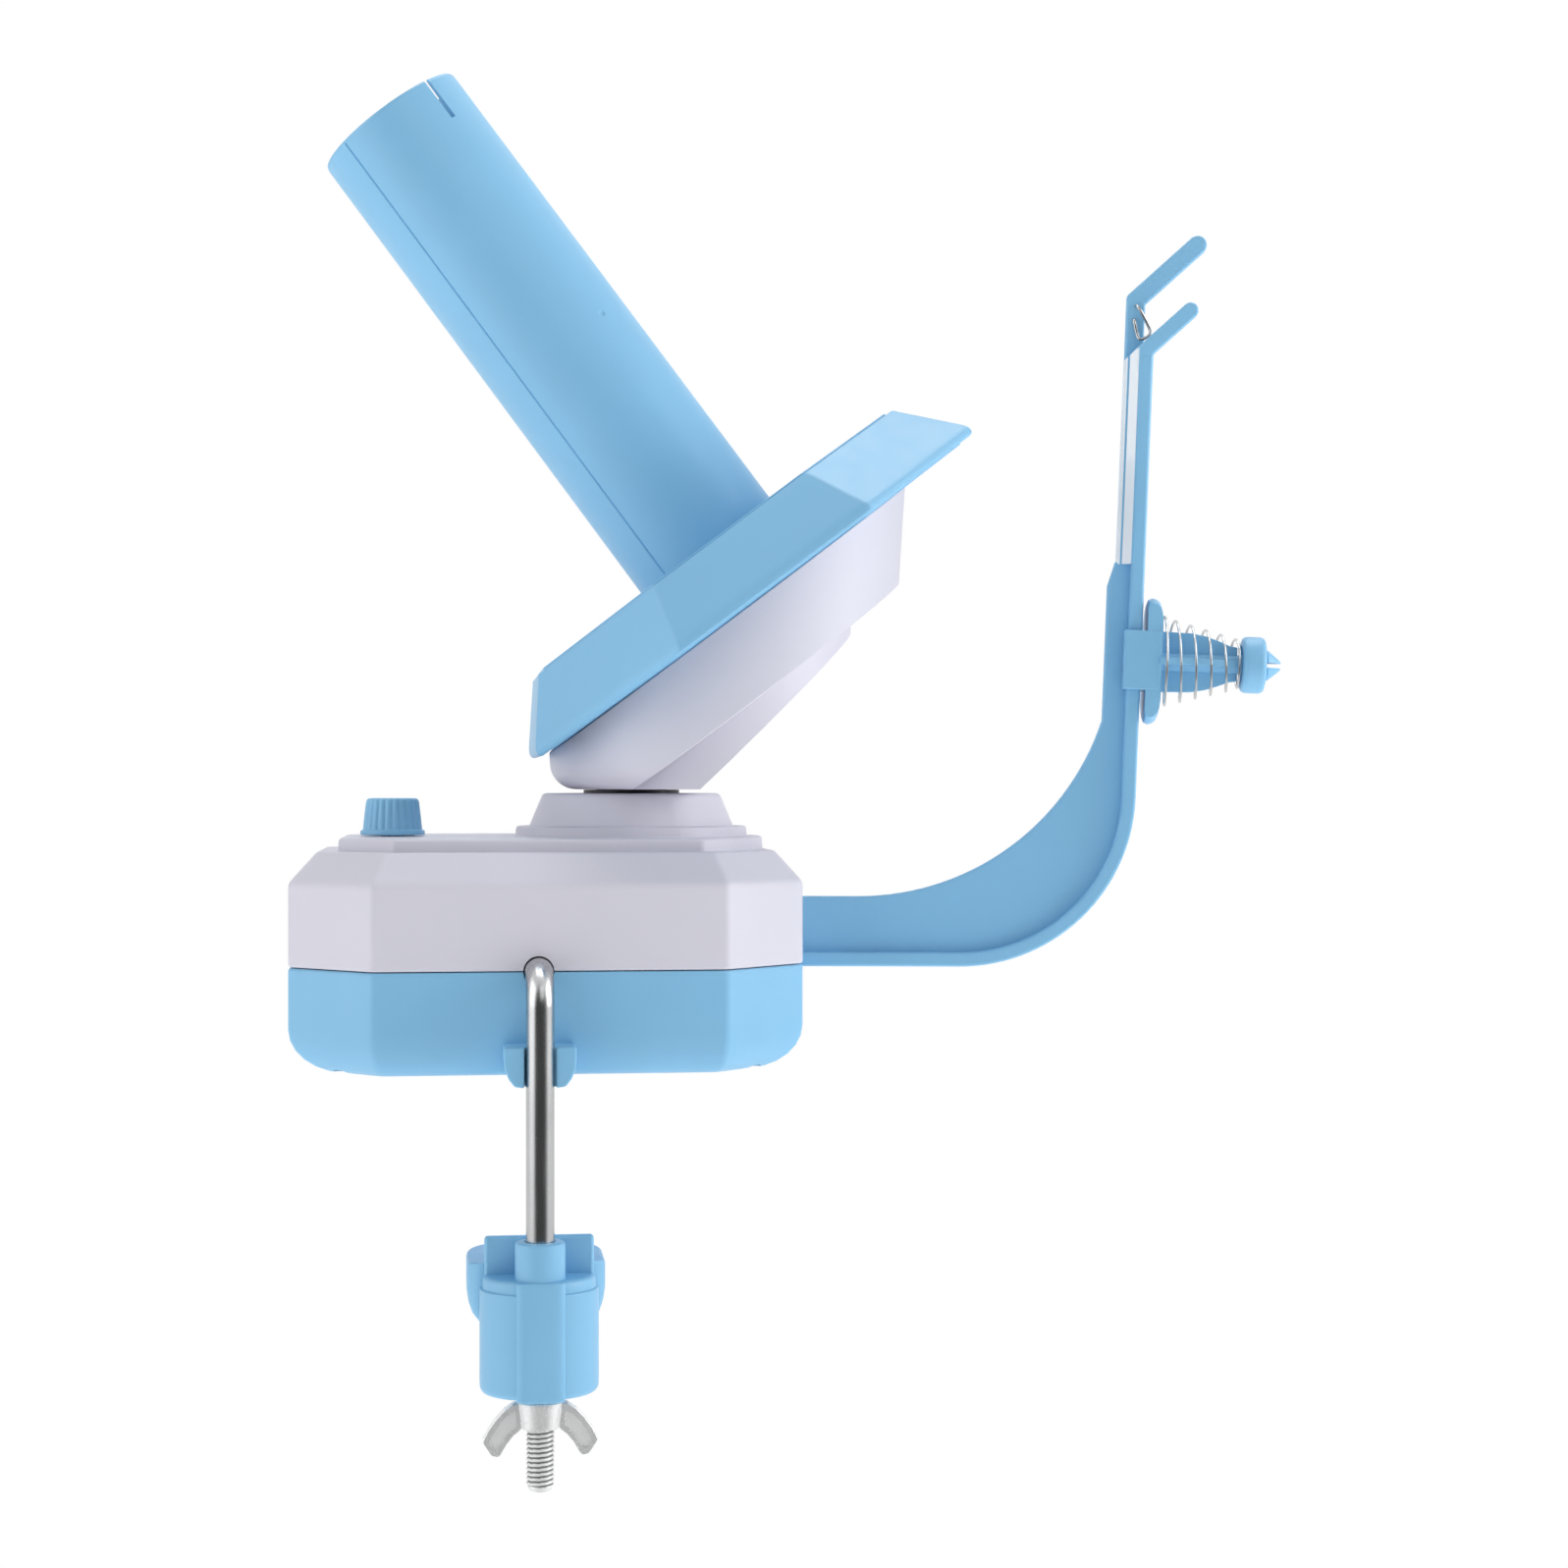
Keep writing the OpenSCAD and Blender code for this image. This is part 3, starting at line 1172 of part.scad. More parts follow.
// One closed six-sided tube along a list of points
module wire_tube(path, d) {
    sides = 6;
    last = len(path) - 1;
    along = [for (i = [0 : last]) toward(path[max(i - 1, 0)], path[min(i + 1, last)])];
    across = carried(along, 0, cross(along[0], [1, 0, 0]));
    points = [for (i = [0 : last], k = [0 : sides - 1]) path[i]
        + d / 2 * (cos(60 * k) * across[i] + sin(60 * k) * cross(along[i], across[i]))];
    walls = [for (i = [0 : last - 1], k = [0 : sides - 1]) let (a = i * sides + k, b = i * sides + (k + 1) % sides)
        each [[a, b + sides, b], [a, a + sides, b + sides]]];
    ends = [for (k = [1 : sides - 2]) each [[0, k, k + 1], [last * sides, last * sides + k + 1, last * sides + k]]];
    polyhedron(points, concat(walls, ends));
}

module tension_spring() {
    echo("tension spring: least gap to itself", spring_gap);
    color(steel) on_upright() translate([0, 0, tension_z]) wire_tube(spring_path, spring_wire_d);
}

// Cup that the spring's small end pushes against; it slides on the post's neck
module tension_cap() {
    edge = 1.2;
    cap_r = tension_cap_d / 2;
    color(blue) on_upright() translate([cap_x0, 0, tension_z]) rotate([0, 90, 0]) difference() {
        rotate_extrude() {
            square([cap_r - edge, tension_cap_len]);
            translate([0, edge]) square([cap_r, tension_cap_len - 2 * edge]);
            for (z = [edge, tension_cap_len - edge]) translate([cap_r - edge, z]) circle(edge, $fn = 32);
        }
        translate([0, 0, -overcut]) cylinder(h = tension_cap_len - cap_wall + overcut, r = tension_end_r + 0.4);
        translate([0, 0, -overcut]) cylinder(h = far, r = tip_neck_r + run_gap);
    }
}

// Bent clamp rod; the thread is a row of pointed rings at the thread's pitch
module clamp_rod() {
    thread_depth = 0.54 * thread_pitch;
    thread_z = -rod_drop + 1.2;
    turns = floor(thread_len / thread_pitch);
    color(steel) {
        rod_leg(rod_r);
        translate([-rod_x, rod_y + rod_bend_r, seam_z - rod_bend_r]) rotate([90, 0, -90])
            rotate_extrude(angle = 90) translate([rod_bend_r, 0]) circle(rod_r);
        translate([-rod_x, rod_y, 0]) rotate_extrude() polygon(concat(
            [[0, -rod_drop], [rod_r - 1, -rod_drop], [rod_r - thread_depth, thread_z]],
            [for (i = [0 : turns - 1], p = [[rod_r, 0.5], [rod_r - thread_depth, 1]])
                [p[0], thread_z + (i + p[1]) * thread_pitch]],
            [[rod_r, thread_z + turns * thread_pitch + thread_depth], [rod_r, seam_z - rod_bend_r],
                [0, seam_z - rod_bend_r]]));
    }
}

module clamp_block() {
    color(blue) difference() {
        union() {
            translate([-rod_x, rod_y, block_top - block_h]) intersection() {
                scale([1, block_depth / block_r, 1]) cylinder(h = block_h, r = block_r);
                translate([-far / 2, -far, 0]) cube([far, far, far]);
            }
            translate([-rod_x - block_r, rod_y - overcut, block_top - block_h])
                cube([2 * block_r, back_plate_y - rod_y + overcut, block_h]);
            translate([-rod_x - block_r + 1, back_plate_y - back_plate_t, block_top - 2])
                cube([2 * block_r - 2, back_plate_t, back_plate_h + jaw_t / 2]);
            intersection() {
                translate([-rod_x - jaw_w / 2 - 1, 0, 0]) rotate([90, 0, 90]) linear_extrude(jaw_w + 2)
                    polygon([[back_plate_y - 1, -jaw_drop], [back_plate_y + jaw_reach + 1, -jaw_drop],
                        [back_plate_y + jaw_reach + 1, -jaw_drop - jaw_t / 2], [back_plate_y + 6, -jaw_drop - jaw_t],
                        [back_plate_y - 1, -jaw_drop - jaw_t - 4]]);
                translate([-rod_x, back_plate_y + jaw_reach - jaw_w / 2, -far / 2]) {
                    cylinder(h = far, d = jaw_w);
                    translate([-jaw_w / 2, -jaw_reach, 0]) cube([jaw_w, jaw_reach, far]);
                }
            }
            translate([-rod_x, rod_y, sleeve_foot]) cylinder(h = sleeve_top - sleeve_foot, r = sleeve_r);
        }
        translate([-rod_x, rod_y, -far]) cylinder(h = 2 * far, r = rod_r + run_gap);
        translate([-rod_x, rod_y, block_top - block_h - overcut]) difference() {
            intersection() {
                scale([1, (block_depth - 2) / (block_r - 2.6), 1]) cylinder(h = block_h - 4, r = block_r - 2.6);
                translate([-far / 2, -far, 0]) cube([far, far, far]);
            }
            translate([0, 0, -overcut]) cylinder(h = far, r = sleeve_r);
        }
    }
}

module wing_nut() {
    wing_t = 2.4;
    hub = nut_hub_d / 2;
    reach = nut_span / 2 - hub;
    color(steel) translate([-rod_x, rod_y, nut_top]) difference() {
        union() {
            translate([0, 0, -nut_h]) cylinder(h = nut_h, d1 = nut_hub_d - 1.4, d2 = nut_hub_d);
            for (s = [0, 180]) rotate([0, 0, s]) plate_xz(wing_t) polygon([[hub - 1.2, -1.4], [hub + 0.3, -2],
                [hub + 0.6 * reach, -5.1], [hub + reach, -9.2], [hub + 0.6 * reach, -12.1], [hub + 0.28 * reach, -8.4],
                [hub - 1.2, 0.3 - nut_h]]);
        }
        translate([0, 0, -nut_h - overcut]) cylinder(h = far, r = rod_r + nut_gap);
    }
}

lower_case();
upper_case();
case_screws();
foot_pads();
collar_bush();
centre_post();
sun_gear();
motor_can();
motor_plate();
motor_screws();
motor_shaft();
motor_pinion();
idler_axle();
idler_gear();
control_board();
dc_inlet();
speed_potentiometer();
potentiometer_nut();
potentiometer_shaft();
speed_knob();
head_base();
head_housing();
head_gear();
neck_ring();
head_screws();
spool_axle();
axle_clip();
spool_tube();
spool_flange();
spool_gear();
spool_screws();
lower_bush();
upper_bush();
guide_arm();
guide_wire();
tension_post();
tension_spring();
tension_cap();
clamp_rod();
clamp_block();
wing_nut();
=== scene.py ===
from math import atan2, copysign, cos, degrees, hypot, pi, radians, sin, sqrt, tan

import bmesh
import bpy
from mathutils import Matrix, Vector


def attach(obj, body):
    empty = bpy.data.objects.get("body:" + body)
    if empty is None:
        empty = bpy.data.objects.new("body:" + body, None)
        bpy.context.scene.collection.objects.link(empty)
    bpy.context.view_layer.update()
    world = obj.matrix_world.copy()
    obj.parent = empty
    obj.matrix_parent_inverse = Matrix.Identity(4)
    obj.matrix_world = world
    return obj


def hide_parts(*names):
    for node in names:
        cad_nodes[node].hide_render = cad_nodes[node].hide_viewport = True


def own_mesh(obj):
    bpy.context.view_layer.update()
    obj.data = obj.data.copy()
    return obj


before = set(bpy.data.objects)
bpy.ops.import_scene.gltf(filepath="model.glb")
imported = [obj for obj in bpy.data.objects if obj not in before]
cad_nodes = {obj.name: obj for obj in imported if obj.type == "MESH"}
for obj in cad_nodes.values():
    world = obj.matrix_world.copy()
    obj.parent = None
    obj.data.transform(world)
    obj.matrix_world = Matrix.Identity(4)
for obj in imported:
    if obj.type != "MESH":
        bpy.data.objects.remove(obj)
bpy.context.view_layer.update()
scene = bpy.context.scene
scene.view_settings.view_transform = "Standard"

# Camera and studio: a level view of the winder's front from a little to the left, over a pale floor that
# lies well below the clamp. Soft square lamps stand left, right, in front and above, and the room is dim
# behind the camera.
camera_data = bpy.data.cameras.new("front_camera")
camera_data.lens = 62.2
camera_data.sensor_width = 36.0
front_camera = bpy.data.objects.new("front_camera", camera_data)
front_camera.location = (-0.0412, -0.6243, 0.0625)
front_camera.rotation_euler = (radians(90), 0, radians(-7))
scene.collection.objects.link(front_camera)
scene.camera = front_camera


def add_node(tree, kind, values=None, **settings):
    """A new shader node of that kind with its settings, and with constants on its sockets."""
    made = tree.nodes.new("ShaderNode" + kind)
    for key, value in settings.items():
        setattr(made, key, value)
    for socket, value in (values or {}).items():
        made.inputs[socket].default_value = value
    return made


def join(tree, *routes):
    """Links nodes, each route from a node's output to another node's input."""
    for source, output, target, socket in routes:
        tree.links.new(source.outputs[output], target.inputs[socket])


def seen_rays(tree):
    """A node that tells the rays' kinds, and one that is 1 for rays off metal or through glass."""
    rays = add_node(tree, "LightPath")
    shiny = add_node(tree, "Math", operation="MAXIMUM")
    join(tree, (rays, "Is Glossy Ray", shiny, 0), (rays, "Is Transmission Ray", shiny, 1))
    return rays, shiny


def dim_front(tree, source, output):
    """A node with the room's brightness in a direction: white, and dim on the camera's side."""
    split = add_node(tree, "SeparateXYZ")
    front = add_node(tree, "MapRange",
                     {"From Min": -0.85, "From Max": -0.4, "To Min": 0.08, "To Max": 1.0},
                     interpolation_type="SMOOTHSTEP")
    join(tree, (source, output, split, 0), (split, "Y", front, "Value"))
    return front


floor_level = -0.16
floor_reach = 9.0
floor_corners = [(x * floor_reach, y * floor_reach, floor_level)
                 for x, y in ((-1, -1), (1, -1), (1, 1), (-1, 1))]
floor_mesh = bpy.data.meshes.new("studio_floor")
floor_mesh.from_pydata(floor_corners, [], [(0, 1, 2, 3)])
studio_floor = bpy.data.objects.new("studio_floor", floor_mesh)
scene.collection.objects.link(studio_floor)
floor_paper = bpy.data.materials.new("floor_paper")
floor_paper.use_nodes = True
paper = floor_paper.node_tree
paper.nodes.clear()
paper_out = add_node(paper, "OutputMaterial")
paper_lit = add_node(paper, "BsdfDiffuse", {"Color": (0.93, 0.93, 0.93, 1)})
paper_glow = add_node(paper, "Emission", {"Color": (1, 1, 1, 1)})
paper_place = add_node(paper, "TexCoord")
paper_far = add_node(paper, "VectorMath", operation="LENGTH")
paper_fade = add_node(paper, "MapRange", {"From Min": 0.1, "From Max": 0.17},
                      interpolation_type="SMOOTHSTEP")
paper_way = add_node(paper, "VectorMath", operation="NORMALIZE")
paper_rays, paper_shiny = seen_rays(paper)
paper_any = add_node(paper, "Math", operation="MAXIMUM")
paper_share = add_node(paper, "Math", operation="MULTIPLY")
paper_mix = add_node(paper, "MixShader")
paper_dim = add_node(paper, "Math", operation="MAXIMUM")
paper_lift = add_node(paper, "Math", {1: 0.5}, operation="MULTIPLY")
paper_bounce = add_node(paper, "Emission")
paper_all = add_node(paper, "AddShader")
join(paper,
     (paper_place, "Object", paper_far, 0), (paper_far, "Value", paper_fade, "Value"),
     (paper_rays, "Is Camera Ray", paper_any, 0), (paper_shiny, 0, paper_any, 1),
     (paper_any, 0, paper_share, 0), (paper_fade, "Result", paper_share, 1),
     (paper_share, 0, paper_mix, 0), (paper_lit, 0, paper_mix, 1), (paper_glow, 0, paper_mix, 2),
     (paper_place, "Object", paper_way, 0), (paper_rays, "Is Camera Ray", paper_dim, 0),
     (dim_front(paper, paper_way, "Vector"), "Result", paper_dim, 1), (paper_dim, 0, paper_glow, "Strength"),
     (paper_rays, "Is Diffuse Ray", paper_lift, 0), (paper_lift, 0, paper_bounce, "Strength"),
     (paper_mix, 0, paper_all, 0), (paper_bounce, 0, paper_all, 1), (paper_all, 0, paper_out, "Surface"))
floor_mesh.materials.append(floor_paper)

studio_world = bpy.data.worlds.new("studio_world")
scene.world = studio_world
studio_world.use_nodes = True
sky = studio_world.node_tree
sky.nodes.clear()
sky_out = add_node(sky, "OutputWorld")
sky_fill = add_node(sky, "Background", {"Color": (0.97, 0.98, 1.0, 1), "Strength": 0.15})
sky_room = add_node(sky, "Background")
sky_white = add_node(sky, "Background", {"Color": (1, 1, 1, 1), "Strength": 1.0})
sky_way = add_node(sky, "TexCoord")
sky_rays, sky_shiny = seen_rays(sky)
sky_metal = add_node(sky, "MixShader")
sky_all = add_node(sky, "MixShader")
join(sky,
     (dim_front(sky, sky_way, "Generated"), "Result", sky_room, "Color"),
     (sky_shiny, 0, sky_metal, 0), (sky_fill, 0, sky_metal, 1), (sky_room, 0, sky_metal, 2),
     (sky_rays, "Is Camera Ray", sky_all, 0), (sky_metal, 0, sky_all, 1), (sky_white, 0, sky_all, 2),
     (sky_all, 0, sky_out, "Surface"))

lamp_aim = Vector((0, 0, 0.06))
for lamp_name, lamp_place, lamp_size, lamp_power in (
        ("left_softbox", (-0.90, -0.34, 0.36), 1.0, 4.0),
        ("right_softbox", (0.92, -0.24, 0.38), 0.7, 5.7),
        ("front_softbox", (0.22, -0.85, 0.62), 0.6, 1.1),
        ("top_softbox", (0.05, 0.25, 1.15), 0.9, 6.8)):
    lamp_data = bpy.data.lights.new(lamp_name, "AREA")
    lamp_data.shape = "SQUARE"
    lamp_data.size = lamp_size
    lamp_data.energy = lamp_power
    lamp = bpy.data.objects.new(lamp_name, lamp_data)
    lamp.location = lamp_place
    lamp.rotation_euler = (lamp_aim - lamp.location).to_track_quat("-Z", "Y").to_euler()
    scene.collection.objects.link(lamp)


# Lower case: the blue half of the motor's shell, one hollow moulding with a rounded bottom edge, four screw
# posts and recesses for the feet. The fork under its front edge steadies the clamp's rod.
case_x = -20.0
case_w = 113.0
case_d = 90.0
case_cut = 18.5
case_wall = 2.2
case_front = -case_d / 2
seam_z = 22.5
seam_gap = 0.12
bottom_round = 9.0
corner_round = 2.6
edge_inset = 0.4
lip_inset = 1.9


def curve(start, towards, end, t):
    """The point that share of the way along a bend from start to end, drawn towards a third point."""
    return start * (1 - t) ** 2 + towards * 2 * t * (1 - t) + end * t * t


def arc(middle, radius, first, last, steps=30):
    """Points round part of a circle, its angles in degrees."""
    angles = [radians(first + (last - first) * k / steps) for k in range(steps + 1)]
    return [(middle[0] + radius * cos(a), middle[1] + radius * sin(a)) for a in angles]


def rounded_loop(corners, radius, arc_steps=4, side_steps=1):
    """A closed loop in plan, each corner rounded and each side split evenly."""
    count = len(corners)
    arcs = []
    for k in range(count):
        here = Vector(corners[k])
        back = Vector(corners[k - 1]) - here
        onward = Vector(corners[(k + 1) % count]) - here
        run = radius / tan(back.angle(onward) / 2)
        run = min(run, 0.45 * back.length, 0.45 * onward.length)
        start = here + back.normalized() * run
        end = here + onward.normalized() * run
        arcs.append([curve(start, here, end, i / arc_steps) for i in range(arc_steps + 1)])
    loop = []
    for k in range(count):
        loop += arcs[k]
        first = arcs[k][-1]
        last = arcs[(k + 1) % count][0]
        loop += [first.lerp(last, i / side_steps) for i in range(1, side_steps)]
    return loop


def octagon(width, depth, cut):
    """Corners of an oblong with its four corners cut off, about the origin."""
    w = width / 2
    d = depth / 2
    return [(w, cut - d), (w, d - cut), (w - cut, d), (cut - w, d),
            (-w, d - cut), (-w, cut - d), (cut - w, -d), (w - cut, -d)]


def case_loop(width, depth, cut):
    """A plan like the case's: an oblong about its middle with cut corners, rounded a little."""
    return rounded_loop([(x + case_x, y) for x, y in octagon(width, depth, cut)], corner_round, 4, 10)


def case_level(inset):
    """Plan of the case that far inside its wall."""
    return case_loop(case_w - 2 * inset, case_d - 2 * inset, case_cut - 0.5858 * inset)


def at_height(loop, z):
    """A plan's points at that height."""
    return [(p.x, p.y, z) for p in loop]


def skin(rings, joined=False):
    """A mesh through rings of equal count, its ends closed, or joined from the last ring to the first."""
    bm = bmesh.new()
    levels = [[bm.verts.new(p) for p in ring] for ring in rings]
    pairs = list(zip(levels, levels[1:]))
    if joined:
        pairs.append((levels[-1], levels[0]))
    for lower, upper in pairs:
        for k in range(len(lower)):
            n = (k + 1) % len(lower)
            bm.faces.new((lower[k], lower[n], upper[n], upper[k]))
    if not joined:
        bm.faces.new(levels[0][::-1])
        bm.faces.new(levels[-1])
    bmesh.ops.remove_doubles(bm, verts=bm.verts, dist=0.0005)
    bmesh.ops.dissolve_degenerate(bm, edges=bm.edges, dist=0.0005)
    bmesh.ops.recalc_face_normals(bm, faces=bm.faces)
    return bm


def turned(profile, steps=64, joined=False):
    """A body turned about Z from points of radius and height."""
    angles = [2 * pi * k / steps for k in range(steps)]
    return skin([[(r * cos(a), r * sin(a), z) for a in angles] for r, z in profile], joined)


def plate(outline, near, far):
    """A flat outline in X and Z given a thickness along Y."""
    return skin([[(x, near, z) for x, z in outline], [(x, far, z) for x, z in outline]])


def brick(low, high):
    """A plain block between two corners, for cutting and as a start for a rounded one."""
    left, near, foot = low
    right, far, top = high
    return plate([(left, foot), (right, foot), (right, top), (left, top)], near, far)


def pin(start, end, radius, steps=48):
    """A straight round bar between two points."""
    bm = turned([(radius, 0), (radius, (Vector(end) - Vector(start)).length)], steps)
    turn = (Vector(end) - Vector(start)).to_track_quat("Z", "Y").to_matrix().to_4x4()
    bm.transform(Matrix.Translation(start) @ turn)
    return bm


def raw(name, bm, place=None):
    """A piece in millimetres, still to be cut, rounded and finished."""
    if place is not None:
        bm.transform(place)
    mesh = bpy.data.meshes.new(name)
    bm.to_mesh(mesh)
    bm.free()
    piece = bpy.data.objects.new(name, mesh)
    scene.collection.objects.link(piece)
    return piece


def bake(piece):
    """Turns the piece's modifiers into its mesh."""
    bpy.context.view_layer.update()
    before = piece.data
    seen = piece.evaluated_get(bpy.context.evaluated_depsgraph_get())
    piece.data = bpy.data.meshes.new_from_object(seen)
    piece.modifiers.clear()
    bpy.data.meshes.remove(before)


def carve(piece, *cutters):
    """Takes each cutter away from the piece."""
    tools = [raw("cutter", bm) for bm in cutters]
    for tool in tools:
        cut = piece.modifiers.new("cut", "BOOLEAN")
        cut.operation = "DIFFERENCE"
        cut.solver = "EXACT"
        cut.object = tool
    bake(piece)
    for tool in tools:
        bpy.data.objects.remove(tool)


def soften(piece, width, segments=3, angle=35):
    """Rounds the piece's edges as the mould leaves them."""
    edge = piece.modifiers.new("edge", "BEVEL")
    edge.width = width
    edge.segments = segments
    edge.limit_method = "ANGLE"
    edge.angle_limit = radians(angle)
    bake(piece)


def weld(piece, *others):
    """Makes one mesh of pieces that are moulded or pressed together."""
    bm = bmesh.new()
    for part in (piece,) + others:
        bm.from_mesh(part.data)
    bm.to_mesh(piece.data)
    bm.free()
    for part in others:
        bpy.data.objects.remove(part)


def settle(piece, finish, body, slot_name, *stood_for, sharp=38):
    """Brings a finished piece to metres, smooths it, and gives it its material and its body."""
    mesh = piece.data
    mesh.transform(Matrix.Scale(0.001, 4))
    mesh.shade_smooth()
    mesh.set_sharp_from_angle(angle=radians(sharp))
    level = piece.modifiers.new("level", "WEIGHTED_NORMAL")
    level.keep_sharp = True
    bake(piece)
    piece.data.materials.clear()
    piece.data.materials.append(finish)
    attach(piece, body)
    if stood_for:
        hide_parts(*stood_for)
    return piece


def new_group(name, *more_inputs):
    """An empty shader group that gives a colour, a roughness and a height, and its two end nodes."""
    tree = bpy.data.node_groups.new(name, "ShaderNodeTree")
    common = (("Colour", "Color"), ("Roughness", "Float"))
    for label, kind in common + more_inputs:
        tree.interface.new_socket(name=label, in_out="INPUT", socket_type="NodeSocket" + kind)
    for label, kind in common + (("Height", "Float"),):
        tree.interface.new_socket(name=label, in_out="OUTPUT", socket_type="NodeSocket" + kind)
    return tree, tree.nodes.new("NodeGroupInput"), tree.nodes.new("NodeGroupOutput")


moulded_skin, skin_in, skin_out = new_group("moulded_skin", ("Mottle", "Float"), ("Grain", "Float"))
skin_place = add_node(moulded_skin, "TexCoord")
skin_cloud = add_node(moulded_skin, "TexNoise", {"Scale": 24.0, "Detail": 3.0})
skin_low = add_node(moulded_skin, "Math", {0: 1.0}, operation="SUBTRACT")
skin_high = add_node(moulded_skin, "Math", {0: 1.0}, operation="ADD")
skin_tone = add_node(moulded_skin, "MapRange", {"From Min": 0.3, "From Max": 0.7})
skin_colour = add_node(moulded_skin, "VectorMath", operation="SCALE")
skin_flow = add_node(moulded_skin, "VectorMath", {1: (190.0, 190.0, 16.0)}, operation="MULTIPLY")
skin_streak = add_node(moulded_skin, "TexNoise", {"Scale": 1.0, "Detail": 4.0})
skin_worn = add_node(moulded_skin, "MapRange",
                     {"From Min": 0.25, "From Max": 0.75, "To Min": -0.06, "To Max": 0.06})
skin_rough = add_node(moulded_skin, "Math", operation="ADD")
skin_grain = add_node(moulded_skin, "TexNoise", {"Detail": 2.0})
join(moulded_skin,
     (skin_place, "Object", skin_cloud, "Vector"), (skin_cloud, "Fac", skin_tone, "Value"),
     (skin_in, "Mottle", skin_low, 1), (skin_low, 0, skin_tone, "To Min"),
     (skin_in, "Mottle", skin_high, 1), (skin_high, 0, skin_tone, "To Max"),
     (skin_in, "Colour", skin_colour, 0), (skin_tone, "Result", skin_colour, "Scale"),
     (skin_colour, "Vector", skin_out, "Colour"),
     (skin_place, "Object", skin_flow, 0), (skin_flow, "Vector", skin_streak, "Vector"),
     (skin_streak, "Fac", skin_worn, "Value"), (skin_worn, "Result", skin_rough, 0),
     (skin_in, "Roughness", skin_rough, 1), (skin_rough, 0, skin_out, "Roughness"),
     (skin_place, "Object", skin_grain, "Vector"), (skin_in, "Grain", skin_grain, "Scale"),
     (skin_grain, "Fac", skin_out, "Height"))


def surfaced(name, group, strength, depth, values):
    """A material whose colour, gloss and fine relief come from a shader group with these values."""
    finish = bpy.data.materials.new(name)
    finish.use_nodes = True
    tree = finish.node_tree
    shader = tree.nodes["Principled BSDF"]
    surface = add_node(tree, "Group", values, node_tree=group)
    bump = add_node(tree, "Bump", {"Strength": strength, "Distance": depth})
    join(tree, (surface, "Colour", shader, "Base Color"), (surface, "Roughness", shader, "Roughness"),
         (surface, "Height", bump, "Height"), (bump, "Normal", shader, "Normal"))
    return finish


def moulded(name, colour, roughness, mottle=0.025, grain=2400.0, depth=0.000002):
    """A moulded plastic or rubber: soft changes of tone and gloss over a fine sparked grain."""
    return surfaced(name, moulded_skin, 0.35, depth, {
        "Colour": (*colour, 1), "Roughness": roughness, "Mottle": mottle, "Grain": grain})


blue_plastic = moulded("blue_plastic", (0.235, 0.535, 0.80), 0.4)


def bottom_level(inset, share, z):
    """A level of the bottom edge, which is rounded more at the ends than at the front, back and corners."""
    ends = inset + 12.0 * share
    front = inset + 5.5 * share
    cut = case_cut - ends - front + sqrt(2) * front
    return at_height(case_loop(case_w - 2 * ends, case_d - 2 * front, cut), z)


def bottom_middle(ring):
    """The level drawn in towards the middle of the floor."""
    return [(case_x + (x - case_x) * 0.4, y * 0.4, z) for x, y, z in ring]


quarter = [radians(15 * k) for k in range(7)]
inner_round = bottom_round - case_wall
outer_turn = [bottom_level(0, 1 - sin(a), bottom_round * (1 - cos(a))) for a in quarter]
inner_turn = [bottom_level(case_wall, 1 - sin(a), bottom_round - inner_round * cos(a))
              for a in quarter[::-1]]
lower_rings = [bottom_middle(outer_turn[0])] + outer_turn
lower_rings += [at_height(case_level(inset), z) for inset, z in (
    (0.0, 14.0), (0.0, 21.7), (0.1, 22.1), (edge_inset, seam_z - seam_gap), (lip_inset, seam_z - seam_gap),
    (case_wall, 22.0))]
lower_rings += inner_turn + [bottom_middle(inner_turn[-1])]
lower_case = raw("lower_case_shell", skin(lower_rings))

rod_x = -22.7
rod_y = -54.0
rod_r = 3.0
rod_bore = rod_r + 0.3


def rod_hole():
    """The cutter for the rod's hole on the seam, half in each half of the case."""
    return pin((rod_x, case_front - 5, seam_z), (rod_x, case_front + 8, seam_z), rod_bore)


def four_spots(reach):
    """Places that far to both sides of the case's middle, near its front and its back."""
    return [(case_x + side * reach, back * 30.5) for side in (-1, 1) for back in (-1, 1)]


post_spots = four_spots(43.2)
pad_spots = four_spots(34.0)
screw_recess_r = 3.3
pad_recess_r = 4.53
inlet_hole_r = 4.03
inlet_x = -8.0
inlet_z = 15
lower_cuts = [rod_hole()]
lower_cuts += [pin((x, y, -1), (x, y, 5), screw_recess_r) for x, y in post_spots]
lower_cuts += [pin((x, y, -1), (x, y, 1.5), pad_recess_r) for x, y in pad_spots]
lower_cuts += [pin((inlet_x, 40, inlet_z), (inlet_x, 50, inlet_z), inlet_hole_r)]
carve(lower_case, *lower_cuts)
post_profile = [(3.35, 4.4), (3.35, 8.0), (1.6, 8.0), (1.6, 22.2), (4.2, 22.2), (4.4, 4.4)]
screw_posts = [raw("screw_post", turned(post_profile, 32, True), Matrix.Translation((x, y, 0)))
               for x, y in post_spots]

fork_half = 7.6
fork_mid = 4.4
fork_top = 7.2
fork_foot = -1.2
fork_outline = [(-fork_half, fork_top), (fork_half, fork_top)]
fork_outline += [(x, max(z, fork_foot)) for x, z in arc((0, fork_mid), fork_half, 0, -180, 12)]
rod_fork = raw("rod_fork", plate([(x + rod_x, z) for x, z in fork_outline], rod_y - 1.0, case_front + 1.6))
carve(rod_fork, brick((rod_x - rod_bore, rod_y - 5, -5), (rod_x + rod_bore, rod_y, 12)),
      pin((rod_x, rod_y, -5), (rod_x, rod_y, 12), rod_bore))
soften(rod_fork, 0.7)
weld(lower_case, rod_fork, *screw_posts)
settle(lower_case, blue_plastic, "base", "blue_plastic", "lower_case")

